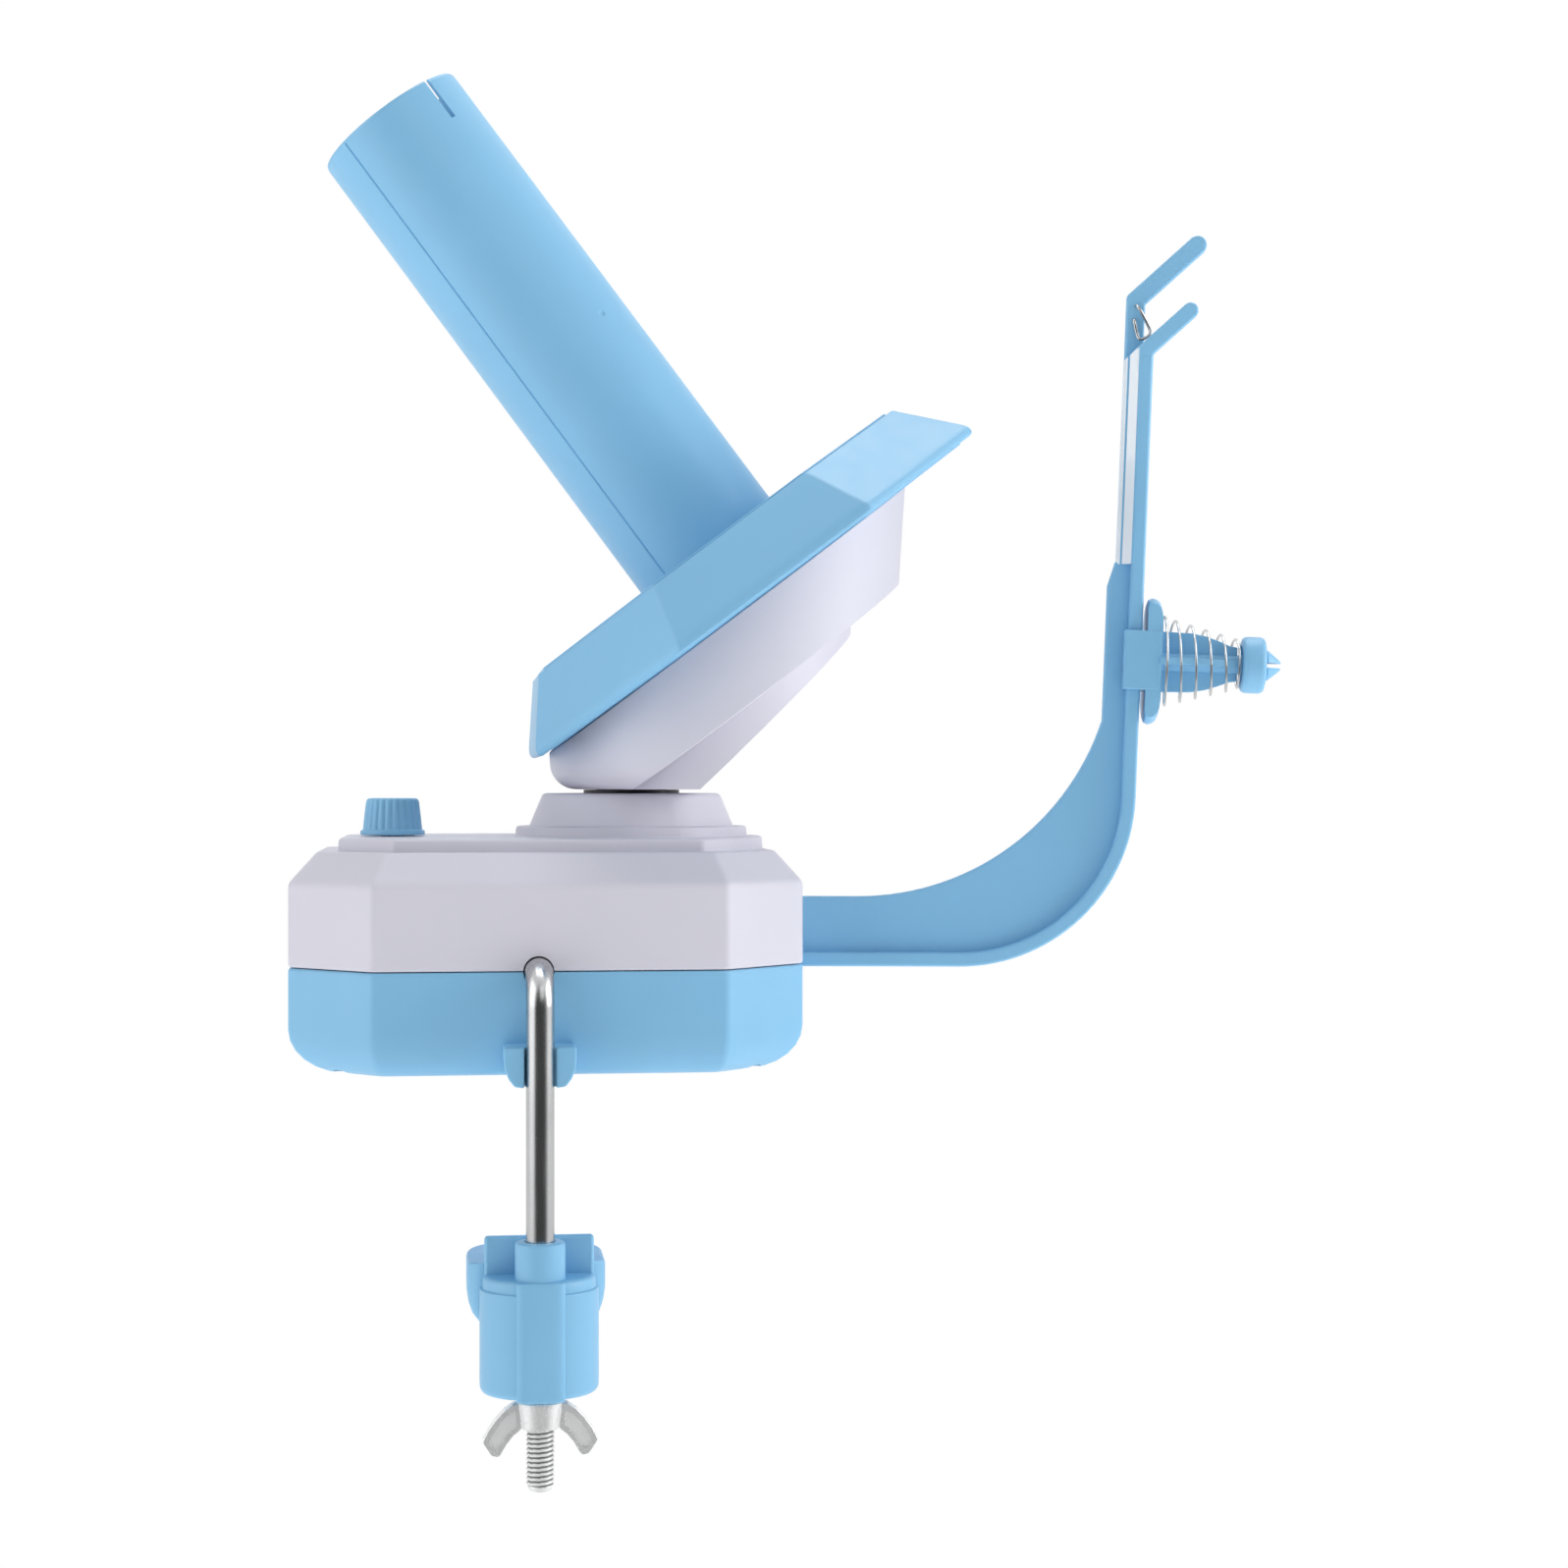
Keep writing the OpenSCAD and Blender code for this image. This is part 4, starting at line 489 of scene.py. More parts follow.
# Feet and screws: four turned steel screws driven up through the lower case's posts, and four pressed rubber
# pads that lie flush in their recesses.
drawn_metal, metal_in, metal_out = new_group("drawn_metal", ("Lines", "Vector"), ("Tarnish", "Float"))
metal_place = add_node(drawn_metal, "TexCoord")
metal_scale = add_node(drawn_metal, "VectorMath", operation="MULTIPLY")
metal_line = add_node(drawn_metal, "TexNoise", {"Scale": 1.0, "Detail": 3.0})
metal_cloud = add_node(drawn_metal, "TexNoise", {"Scale": 90.0, "Detail": 4.0})
metal_dull = add_node(drawn_metal, "Math", operation="MULTIPLY")
metal_tone = add_node(drawn_metal, "Math", {0: 1.0}, operation="SUBTRACT")
metal_colour = add_node(drawn_metal, "VectorMath", operation="SCALE")
metal_worn = add_node(drawn_metal, "MapRange",
                      {"From Min": 0.25, "From Max": 0.75, "To Min": -0.05, "To Max": 0.07})
metal_rough = add_node(drawn_metal, "Math", operation="ADD")
join(drawn_metal,
     (metal_place, "Object", metal_scale, 0), (metal_in, "Lines", metal_scale, 1),
     (metal_scale, "Vector", metal_line, "Vector"), (metal_place, "Object", metal_cloud, "Vector"),
     (metal_cloud, "Fac", metal_dull, 0), (metal_in, "Tarnish", metal_dull, 1),
     (metal_dull, 0, metal_tone, 1), (metal_in, "Colour", metal_colour, 0),
     (metal_tone, 0, metal_colour, "Scale"), (metal_colour, "Vector", metal_out, "Colour"),
     (metal_line, "Fac", metal_worn, "Value"), (metal_worn, "Result", metal_rough, 0),
     (metal_in, "Roughness", metal_rough, 1), (metal_rough, 0, metal_out, "Roughness"),
     (metal_line, "Fac", metal_out, "Height"))


def metal(name, colour, roughness, lines=(900.0, 900.0, 60.0), tarnish=0.2, depth=0.000006, metallic=1.0):
    """A drawn, turned or cast metal with fine lines and slight tarnish."""
    finish = surfaced(name, drawn_metal, 0.3, depth, {
        "Colour": (*colour, 1), "Roughness": roughness, "Lines": lines, "Tarnish": tarnish})
    finish.node_tree.nodes["Principled BSDF"].inputs["Metallic"].default_value = metallic
    return finish


def dress(finish, *names):
    """Gives CAD pieces whose shape is right their finish."""
    for name in names:
        mesh = cad_nodes[name].data
        mesh.materials.clear()
        mesh.materials.append(finish)


turned_steel = metal("turned_steel", (0.56, 0.57, 0.58), 0.28)
pad_rubber = moulded("pad_rubber", (0.03, 0.03, 0.032), 0.75, 0.12, 1500.0, 0.00003)
dress(turned_steel, "case_screws")
dress(pad_rubber, "foot_pads")

# Drive inside the case: a can motor on a pressed plate, its brass pinion, a two-step idler on a steel
# axle, and the driven gear on the head's neck. The gears, but for the pinion, are moulded nylon.
motor_steel = metal("motor_steel", (0.48, 0.49, 0.5), 0.36, (300.0, 300.0, 300.0), 0.3)
gear_nylon = moulded("gear_nylon", (0.78, 0.76, 0.70), 0.5, 0.04, 1200.0)
turned_brass = metal("turned_brass", (0.75, 0.55, 0.24), 0.26, (120.0, 120.0, 1400.0), 0.25)
dress(motor_steel, "motor_can", "motor_plate")
dress(turned_steel, "motor_screws", "motor_shaft", "idler_axle", "centre_post", "neck_ring")
dress(turned_brass, "motor_pinion")
dress(gear_nylon, "idler_gear", "head_gear", "sun_gear")

# Electrics inside the case: a small circuit board, the power inlet in the back wall and the
# potentiometer whose bush passes through the deck under the knob.
board_green = moulded("board_green", (0.03, 0.20, 0.08), 0.35, 0.15, 500.0)
inlet_black = moulded("inlet_black", (0.025, 0.025, 0.028), 0.42, 0.08, 1800.0)
dress(board_green, "control_board")
dress(inlet_black, "dc_inlet")
dress(motor_steel, "speed_potentiometer")
dress(turned_steel, "potentiometer_nut", "potentiometer_shaft")

# Upper case: the pale half of the shell with its sloped shoulder, the raised deck, and the stepped
# collar that the head turns on. A dark bush is pressed into the collar.
deck_inset = 10.5
deck_disc = 30.3
shoulder_z = 41.0
ledge_z = 47.7
ledge_inset = 6.2
knob_x = -54.5
knob_hole_r = 3.7


def deck_level(offset):
    """Plan of the raised deck: the case's own outline, swelled to a disc round the head's axis."""
    loop = []
    for p in case_level(deck_inset + offset):
        loop.append(p * max(1.0, (deck_disc - offset) / p.length))
    return loop


def shoulder_ring(inset, z):
    """One level of the shoulder, held out to the deck's foot where the disc overhangs it."""
    ring = []
    for p, deck, wall, ledge in zip(case_level(inset), deck_level(0), case_level(0), case_level(ledge_inset)):
        if p.length < deck.length:
            share = (wall.length - deck.length) / (wall.length - ledge.length)
            ring.append((deck.x, deck.y, min(z, shoulder_z + (ledge_z - shoulder_z) * share)))
        else:
            ring.append((p.x, p.y, z))
    return ring


def collar_ring(radius, z):
    """A round level of the collar, its points at the deck's own angles."""
    return [(p.x / p.length * radius, p.y / p.length * radius, z) for p in deck_level(0)]


wall_top = []
for k in range(5):
    t = k / 4
    wall_top.append((0.95 * t * t, 39.8 * (1 - t) ** 2 + 2 * t * (1 - t) * shoulder_z + 41.88 * t * t))
ledge_lip = (6.3, 47.67)
upper_rings = [shoulder_ring(inset, z) for inset, z in
               [(edge_inset, seam_z + seam_gap), (0.1, 22.9), (0.0, 23.3), (0.0, 32.0)] + wall_top
               + [(3.45, 44.72), (5.8, 47.33), (6.05, 47.55), ledge_lip, (6.7, ledge_z)]]
lip_ring = shoulder_ring(*ledge_lip)
upper_rings.append([(p.x, p.y, min(ledge_z, lip[2])) for p, lip in zip(deck_level(0), lip_ring)])
upper_rings += [at_height(deck_level(offset), z) for offset, z in (
    (0.1, 48.6), (0.15, 49.8), (0.25, 50.2), (0.5, 50.48), (0.95, 50.6))]
upper_rings += [collar_ring(r, z) for r, z in (
    (27.1, 50.6), (26.75, 50.66), (26.6, 50.9), (26.5, 52.3), (26.3, 52.75), (25.85, 52.9), (23.7, 52.9),
    (23.4, 53.05), (23.25, 53.4), (20.75, 59.4), (20.45, 60.0), (19.95, 60.32), (19.3, 60.4), (10.05, 60.4),
    (10.05, 44.2), (12.2, 44.2), (12.2, 48.2))]
upper_rings += [at_height(deck_level(2.6), z) for z in (48.2, 45.3)]
upper_rings += [at_height(case_level(inset), z) for inset, z in (
    (8.6, 45.3), (3.2, 40.6), (case_wall, 39.4), (case_wall, 23.0), (lip_inset, seam_z + seam_gap))]
upper_case = raw("upper_case_shell", skin(upper_rings, True))
carve(upper_case, rod_hole(), pin((knob_x, 0, 44), (knob_x, 0, 56), knob_hole_r))
pale_plastic = moulded("pale_plastic", (0.69, 0.68, 0.765), 0.45, 0.015)
settle(upper_case, pale_plastic, "base", "pale_plastic", "upper_case")
bush_black = moulded("bush_black", (0.10, 0.095, 0.11), 0.4, 0.06, 1800.0)
dress(bush_black, "collar_bush")

# Speed knob: a small knob moulded in the same blue plastic, fluted for the fingers above a plain skirt. It is
# pushed on the potentiometer's shaft and sets how fast the head turns.
knob_foot = 50.9
knob_flutes = 24
knob_columns = [2 * pi * k / (knob_flutes * 8) for k in range(knob_flutes * 8)]


def knob_ring(radius, z, flute):
    """One level of the knob, its flutes that deep."""
    ring = []
    for a in knob_columns:
        r = radius - flute * (0.5 + 0.5 * cos(knob_flutes * a)) ** 2
        ring.append((knob_x + r * cos(a), r * sin(a), knob_foot + z))
    return ring


speed_knob = raw("speed_knob_cap", skin([knob_ring(r, z, flute) for r, z, flute in (
    (3.4, 6.4, 0), (3.4, 3.4, 0), (6.0, 3.2, 0), (6.1, 0.0, 0), (7.05, 0.0, 0), (7.25, 0.1, 0), (7.3, 0.3, 0),
    (7.3, 0.85, 0), (7.2, 1.05, 0), (6.95, 1.1, 0), (6.8, 1.2, 0.1), (6.7, 1.5, 0.34), (6.4, 4.4, 0.34),
    (6.05, 7.3, 0.32), (5.95, 7.75, 0.24), (5.75, 8.1, 0.12), (5.4, 8.33, 0.04), (4.95, 8.4, 0),
    (4.6, 8.36, 0), (4.2, 8.3, 0))]))
settle(speed_knob, blue_plastic, "knob", "blue_plastic", "speed_knob", sharp=50)

# Head base: the pale lower tier of the turning head, a round cup sliced off slantwise below, on the
# hollow neck that runs down through the collar's bush.
head_x = 20.3
head_z = 61.3
head_wall = 2.2
spool_top = Vector((0, 0, 140.4))
spool_lean = radians(37)
spool_axis = Vector((-sin(spool_lean), 0, cos(spool_lean)))
crease_drop = 62.3
rim_drop = 45.1


def slice_off(bm, point, way):
    """Cuts away what lies beyond a plane, and closes the cut."""
    all_of_it = bm.verts[:] + bm.edges[:] + bm.faces[:]
    cut = bmesh.ops.bisect_plane(
        bm, geom=all_of_it, dist=0.0001, plane_co=point, plane_no=way, clear_outer=True)
    rim = [part for part in cut["geom_cut"] if isinstance(part, bmesh.types.BMEdge)]
    bmesh.ops.edgeloop_fill(bm, edges=rim)
    bmesh.ops.recalc_face_normals(bm, faces=bm.faces)


base_r = 30.5
neck_bore = 5.0
under_lean = radians(44)
under_way = Vector((sin(under_lean), 0, -cos(under_lean)))


def base_cup(inset, drop):
    """The lower tier's form that far inside its wall, up to a slanted top that far below the spool."""
    bm = turned([(base_r - inset, head_z + inset), (base_r - inset, 150.0)], 160)
    bm.transform(Matrix.Translation((head_x, 0, 0)))
    slice_off(bm, Vector((13.2, 0, head_z)) - under_way * inset, under_way)
    slice_off(bm, spool_top - spool_axis * drop, spool_axis)
    return bm


head_base = raw("head_base_cup", base_cup(0, crease_drop - 20))
soften(head_base, 4.2, 6, 30)
trimmed = bmesh.new()
trimmed.from_mesh(head_base.data)
slice_off(trimmed, spool_top - spool_axis * crease_drop, spool_axis)
trimmed.to_mesh(head_base.data)
trimmed.free()
carve(head_base, base_cup(head_wall, crease_drop - 5), pin((0, 0, 58), (0, 0, 72), neck_bore))
head_neck = raw("head_neck", turned([
    (neck_bore, 34.5), (7.7, 34.5), (8.0, 34.8), (8.0, 61.6), (12.2, 61.6), (12.2, 64.5),
    (neck_bore, 64.5)], 64, True))
weld(head_base, head_neck)
settle(head_base, pale_plastic, "head", "pale_plastic", "head_base")

# Head housing: the pale upper tier, a shallow bowl with a rounded foot that carries the spool's slanted
# rim. It is screwed down on the base.
foot_round = 6.0
foot_hole = 26.0
housing_r = 39.0
housing_rise = 92.0
housing_flare = radians(3.6)
housing_arc = [radians(10 * k) for k in range(10)]


def housing_bowl(inset, drop):
    """The upper tier's form that far inside its wall, up to a slanted top that far below the spool."""
    r = foot_round - inset
    profile = [(foot_hole, head_z + inset)]
    for a in housing_arc:
        profile.append((housing_r - foot_round + r * sin(a), head_z + foot_round - r * cos(a)))
    flare = housing_rise * tan(housing_flare)
    profile.append((housing_r - inset + flare, head_z + foot_round + housing_rise))
    bm = turned(profile, 160)
    bm.transform(Matrix.Translation((head_x, 0, 0)))
    slice_off(bm, spool_top - spool_axis * (crease_drop - inset), -spool_axis)
    slice_off(bm, spool_top - spool_axis * drop, spool_axis)
    return bm


head_housing = raw("head_housing_bowl", housing_bowl(0, rim_drop))
soften(head_housing, 0.9, 3, 30)
carve(head_housing, housing_bowl(head_wall, rim_drop - 5),
      pin((head_x, 0, 50), (head_x, 0, 100), foot_hole, 96))
settle(head_housing, pale_plastic, "head", "pale_plastic", "head_housing")

# Inside the head: the turned steel spool axle with its clip, and three pan-head steel screws that hold
# the two tiers together. They go in square to the slanted joint, the third one short because the lower
# tier is thin there.
dress(turned_steel, "spool_axle", "axle_clip")
screw_reach = 27.95
head_screws = []
for x, y, z, depth in ((head_x, -screw_reach, 77.69, 2.0), (head_x, screw_reach, 77.69, 2.0),
                       (head_x + screw_reach, 0.0, 98.75, 0.4)):
    screw = raw("head_screw", turned([
        (0.4, -depth), (1.05, 0.3 - depth), (1.05, 2.2), (2.0, 2.2), (2.0, 3.1), (1.75, 3.6), (1.2, 3.8),
        (0.3, 3.8)], 28))
    carve(screw, brick((-1.2, -0.25, 3.2), (1.2, 0.25, 5)), brick((-0.25, -1.2, 3.2), (0.25, 1.2, 5)))
    screw.data.transform(Matrix.Translation((x, y, z)) @ Matrix.Rotation(-spool_lean, 4, "Y"))
    head_screws.append(screw)
weld(*head_screws)
head_screws[0].name = "head_screws_steel"
settle(head_screws[0], turned_steel, "head", "steel", "head_screws")

# Spool flange: the blue eight-sided plate under the yarn, sloped at its edge, with a low seat for the
# yarn and a ring inside its rim. The spool's bevel gear is screwed under it.
spool_place = Matrix.Translation(spool_top) @ Matrix.Rotation(-spool_lean, 4, "Y")


def flange_ring(across, z):
    """One level of the eight-sided flange, that wide across its flats."""
    corners = octagon(across, across, across * 0.29289)
    return at_height(rounded_loop(corners, 1.6, 4, 6), z)


spool_flange = raw("spool_flange_plate", skin([flange_ring(w, -drop) for w, drop in (
    (24.0, 29.0), (95.7, 29.0), (96.1, 29.06), (96.3, 29.2), (96.4, 29.5), (99.0, 29.5), (99.6, 29.56),
    (100.2, 29.8), (101.3, 30.5), (119.2, 41.15), (120.5, 42.0), (121.3, 42.7), (121.6, 43.3), (121.5, 43.9),
    (120.9, 44.35), (119.9, 44.5), (117.0, 44.5), (114.5, 44.2), (114.5, 44.8), (109.6, 44.8), (109.6, 41.2),
    (97.4, 31.9), (24.0, 31.9))], True), spool_place)
settle(spool_flange, blue_plastic, "spool", "blue_plastic", "spool_flange", sharp=24)
dress(gear_nylon, "spool_gear")
dress(turned_steel, "spool_screws")

# Spool tube: the long blue tube the yarn is wound on, moulded in a die of two halves, so that a fine
# parting line runs down two sides, with a slit in its tip that holds the yarn's end. Brass bushes run
# on the axle inside it.
tube_foot = -29.0
tube_tip = 91.5
tube_foot_r = 18.5
tube_tip_r = 17.9
die_way = radians(-59.6)
parting = [radians(-134.6), radians(45.4)]
tube_columns = [radians(3 * k) for k in range(120)]
for line_angle in parting:
    line_angle %= 2 * pi
    tube_columns = [a for a in tube_columns if abs(a - line_angle) > radians(1.2)]
    tube_columns += [line_angle + radians(d) for d in (-1.15, -0.85, 0.0, 0.85, 1.15)]
tube_columns.sort()


def tube_ring(radius, z, line=0.0):
    """One level of the tube, its parting lines that deep."""
    ring = []
    for a in tube_columns:
        r = radius
        for line_angle in parting:
            if abs((a - line_angle + pi) % (2 * pi) - pi) < radians(0.5):
                r -= line
        ring.append((r * cos(a), r * sin(a), z))
    return ring


spool_tube = raw("spool_tube_shell", skin([tube_ring(r, z, line) for r, z, line in (
    (5.05, tube_foot, 0), (18.3, tube_foot, 0), (tube_foot_r, tube_foot + 0.2, 0.1),
    (tube_foot_r, tube_foot + 0.8, 0.35), (18.2, 31.0, 0.4), (tube_tip_r, 90.6, 0.4), (17.82, 91.1, 0.15),
    (17.65, 91.4, 0.05), (17.45, tube_tip, 0), (17.2, tube_tip, 0), (17.02, 91.35, 0), (16.95, 91.1, 0),
    (16.0, 2.6, 0), (15.4, 2.0, 0), (8.0, 2.0, 0), (7.5, 2.5, 0), (7.5, 11.6, 0), (7.1, 12.0, 0),
    (5.05, 12.0, 0))], True))
slit_half = 0.65
slit_depth = 10.2
slit_cut = brick((9.0, -slit_half, tube_tip - slit_depth), (tube_tip_r + 2, slit_half, tube_tip + 2))
slit_cut.transform(Matrix.Translation((0.93, 1.3, 0)) @ Matrix.Rotation(die_way, 4, "Z"))
gate_way = Matrix.Rotation(radians(-54.0), 4, "Z") @ Matrix.Translation((18.24, 0, 26.9))
gate_cut = turned([(0.9, 0.0), (0.8, -0.12), (0.45, -0.22), (0.1, -0.25)], 20)
gate_cut.transform(gate_way @ Matrix.Rotation(radians(90), 4, "Y"))
carve(spool_tube, slit_cut, gate_cut)
spool_tube.data.transform(spool_place)
settle(spool_tube, blue_plastic, "spool", "blue_plastic", "spool_tube", sharp=45)
dress(turned_brass, "lower_bush", "upper_bush")

# Guide arm: a blue moulding of a broad band on a thin web, fixed in the case's right side. It sweeps up
# past the spool and ends in two flat slanting fingers that steer the yarn.
arm_place = Matrix.Translation((36.5, 0, 0)) @ Matrix.Rotation(radians(-10), 4, "Z")
arm_lean = radians(2.3)
upright_s = 79.867
upright_z = 59.279
upright_h = 101.6
upright_place = arm_place @ Matrix.Translation((upright_s, 0, upright_z)) @ Matrix.Rotation(arm_lean, 4, "Y")
arm_root_s = -1.5
arm_z = 20.5
arm_root_top = 36.5
arm_run = 39.5
arm_bend_r = 40.4
arm_bend_z = 60.9
band_t = 3.2
band_w = 10.0
web_t = 3.4
web_depth = 8.2
top_depth = 6.5
step_h = 49.6
inner_r = 59.0
inner_s = 16.3
inner_z = arm_root_top + inner_r


def up_point(x, z):
    """A point of the upright, in the plane of the whole arm."""
    return (upright_s + x * cos(arm_lean) + z * sin(arm_lean),
            upright_z - x * sin(arm_lean) + z * cos(arm_lean))


bend = (arm_run, arm_bend_z)
lean_deg = degrees(arm_lean)
band_side = [(arm_root_s, arm_z)] + arc(bend, arm_bend_r, -90, -lean_deg)
band_side += [up_point(0, upright_h), up_point(-band_t, upright_h)]
band_side += arc(bend, arm_bend_r - band_t, -lean_deg, -90) + [(arm_root_s, arm_z + band_t)]
arm_band = raw("arm_band", plate(band_side, -band_w / 2, band_w / 2), arm_place)
soften(arm_band, 0.8, 3)

meet = up_point(-web_depth, 17.57)
meet_deg = degrees(atan2(meet[1] - inner_z, meet[0] - inner_s))
web_h = step_h + 5
web_side = [(arm_root_s, arm_z + band_t / 2)] + arc(bend, arm_bend_r - band_t / 2, -90, -lean_deg)
web_side += [up_point(-band_t / 2, web_h), up_point(-top_depth, web_h), up_point(-web_depth, step_h - 1)]
web_side += arc((inner_s, inner_z), inner_r, meet_deg, -90) + [(arm_root_s, arm_root_top)]
arm_web = raw("arm_web", plate(web_side, -web_t / 2, web_t / 2), arm_place)
soften(arm_web, 0.6, 3)

rib_half = [(-1.6, -4.4), (-3.35, -4.4), (-5.3, -2.75), (-4.9, -2.0), (-5.75, -2.05), (-6.4, -1.4),
            (-6.4, 0.0)]
rib_section = rib_half + [(x, -y) for x, y in rib_half[-2::-1]]
arm_rib = raw("arm_rib", skin([[(x, y, web_h - 1) for x, y in rib_section],
                               [(x, y, upright_h + 5.2 + 0.966 * x) for x, y in rib_section]]), upright_place)
soften(arm_rib, 0.12, 1, 20)
finger_w = 3.4
def finger(foot, top, length, shift, near, t):
    """One flat finger: a strip that leaves the upright at an angle, its end rounded."""
    slant = 44
    a = radians(slant)
    reach = length - t * 1.3
    tip = (reach * cos(a) - t / 2 * sin(a), top + reach * sin(a) + t / 2 * cos(a))
    side = [(-t, foot), (0, foot), (0, top)] + arc(tip, t / 2, slant - 90, slant + 90, 10)
    side += [(-t, top + t * tan(radians(45 - slant / 2)))]
    piece = raw("arm_finger", plate([(x + shift, z) for x, z in side], near, near + finger_w), upright_place)
    soften(piece, 0.55, 3)
    return piece


near_finger = finger(upright_h - 4, upright_h + 0.2, 17.6, 0.0, 0.15 - band_w / 2, 3.6)
far_finger = finger(upright_h - 4, upright_h + 12.6, 23.6, 4.6 - top_depth, band_w / 2 - 3.75, 4.3)
weld(arm_band, arm_web, arm_rib, near_finger, far_finger)
arm_band.name = "guide_arm_moulding"
settle(arm_band, blue_plastic, "base", "blue_plastic", "guide_arm", sharp=30)
# The rib's outer facet takes a near-white blue of its own: a painted highlight for a lamp's reflection along
# it, under a glossy coat.
painted_highlight_blue = moulded("painted_highlight_blue", (0.88, 0.93, 0.97), 0.16, 0.02)
highlight_inputs = painted_highlight_blue.node_tree.nodes["Principled BSDF"].inputs
highlight_inputs["Coat Weight"].default_value = 0.5
highlight_inputs["Coat Roughness"].default_value = 0.08
arm_band.data.materials.append(painted_highlight_blue)
# Faces of the rib's outer facet get the painted highlight.
to_upright = upright_place.inverted()
for face in arm_band.data.polygons:
    spot = to_upright @ (face.center * 1000)
    on_highlight_rib = spot.x < -3.2 and -6.0 < spot.y < -0.3 and step_h + 4 < spot.z < upright_h
    if on_highlight_rib and face.normal.x < -0.3:
        face.material_index = 1

# Guide wire: a short piece of drawn spring steel wire, bent to a narrow loop. Both ends are pushed into
# the far finger, and the loop keeps the yarn between the two fingers.


def wire(points, radius, sides=10):
    """A round wire along a line of points, carried without twist, with flat ends."""
    points = [Vector(p) for p in points]
    last = len(points) - 1
    along = [(points[min(k + 1, last)] - points[max(k - 1, 0)]).normalized() for k in range(last + 1)]
    side = along[0].orthogonal().normalized()
    rings = []
    for p, way in zip(points, along):
        side = (side - way * side.dot(way)).normalized()
        across = way.cross(side)
        turn = [2 * pi * k / sides for k in range(sides)]
        rings.append([p + (side * cos(a) + across * sin(a)) * radius for a in turn])
    return skin(rings)


def bent(corners, steps):
    """A smooth run through the middles of a line's sides."""
    corners = [Vector(c) for c in corners]
    run = [corners[0]]
    for k in range(1, len(corners) - 1):
        first = (corners[k - 1] + corners[k]) / 2
        second = (corners[k] + corners[k + 1]) / 2
        run += [curve(first, corners[k], second, i / steps) for i in range(steps)]
    return run + [(corners[-2] + corners[-1]) / 2, corners[-1]]


inner = band_w / 2 - finger_w
wire_corners = [(x, y, upright_h + z) for x, y, z in (
    (-4.0, inner + 0.6, 12), (-4.0, inner - 1.2, 12), (-3.4, inner - 2, 11.2), (-0.5, 0.2, 6.4),
    (-0.7, -0.2, 5), (-3.0, -0.2, 3.8), (-3.6, 0.2, 5), (-4.4, inner - 1.6, 8.2), (-4.4, inner - 1, 8.8),
    (-4.4, inner + 0.6, 8.8))]
guide_wire_r = 0.4
guide_wire = raw("guide_wire_bent", wire(bent(wire_corners, 8), guide_wire_r), upright_place)
wire_steel = metal("wire_steel", (0.50, 0.51, 0.52), 0.24)
settle(guide_wire, wire_steel, "base", "steel", "guide_wire", sharp=60)

# Tension post: a blue moulding that clips on the upright, with a round disc, a post of two crossing ribs
# and a split arrow tip that the cap snaps over.
tension_h = 31.6
tension_place = upright_place @ Matrix.Translation((0, 0, tension_h))
along_x = Matrix.Rotation(radians(90), 4, "Y")
disc_x = 4.6
post_end = 22.2
tip_start = 28.6
tip_end = 32.2

tension_clip = raw("tension_clip", brick((-4.1, -6.6, -6.8), (4.3, 6.6, 6.8)))
carve(tension_clip, brick((-3.3, -5.1, -9), (0.1, 5.1, 9)), brick((-9, -1.9, -9), (-3.1, 1.9, 9)))
soften(tension_clip, 0.7, 3)
tension_disc = raw("tension_disc", turned([
    (2.0, 1.1), (13.4, 1.1), (14.15, 1.4), (14.5, 2.1), (14.45, 2.7), (14.2, 3.35), (13.6, 3.95),
    (12.6, 4.35), (11.0, 4.56), (9.0, disc_x), (2.0, disc_x)], 96), along_x)
carve(tension_disc, brick((-2.0, -20.0, -20.0), (8.0, -6.45, 20.0)))
soften(tension_disc, 0.35, 2, 50)
rib_side = [(disc_x - 0.6, 7.0), (11.6, 6.8), (15.0, 6.2), (18.0, 5.2), (20.4, 4.2), (post_end, 3.9)]
rib_side += [(x, -r) for x, r in rib_side[::-1]]
rib_half_t = 0.8
tall_rib = raw("tall_rib", plate(rib_side, -rib_half_t, rib_half_t))
flat_rib = raw("flat_rib", plate(rib_side, -rib_half_t, rib_half_t), Matrix.Rotation(radians(90), 4, "X"))
soften(tall_rib, 0.3, 2)
soften(flat_rib, 0.3, 2)
post_tip = raw("post_tip", turned([
    (2.2, disc_x - 0.5), (2.2, tip_start - 0.1), (3.2, tip_start + 0.1), (3.5, tip_start + 0.35),
    (3.4, tip_start + 0.7), (1.4, tip_end - 0.5), (1.0, tip_end - 0.1), (0.6, tip_end)], 40), along_x)
tip_slit_half = 0.55
carve(post_tip, brick((25.0, -6, -tip_slit_half), (40.0, 6, tip_slit_half)))
weld(tension_clip, tension_disc, tall_rib, flat_rib, post_tip)
tension_clip.data.transform(tension_place)
tension_clip.name = "tension_post_moulding"
settle(tension_clip, blue_plastic, "base", "blue_plastic", "tension_post")

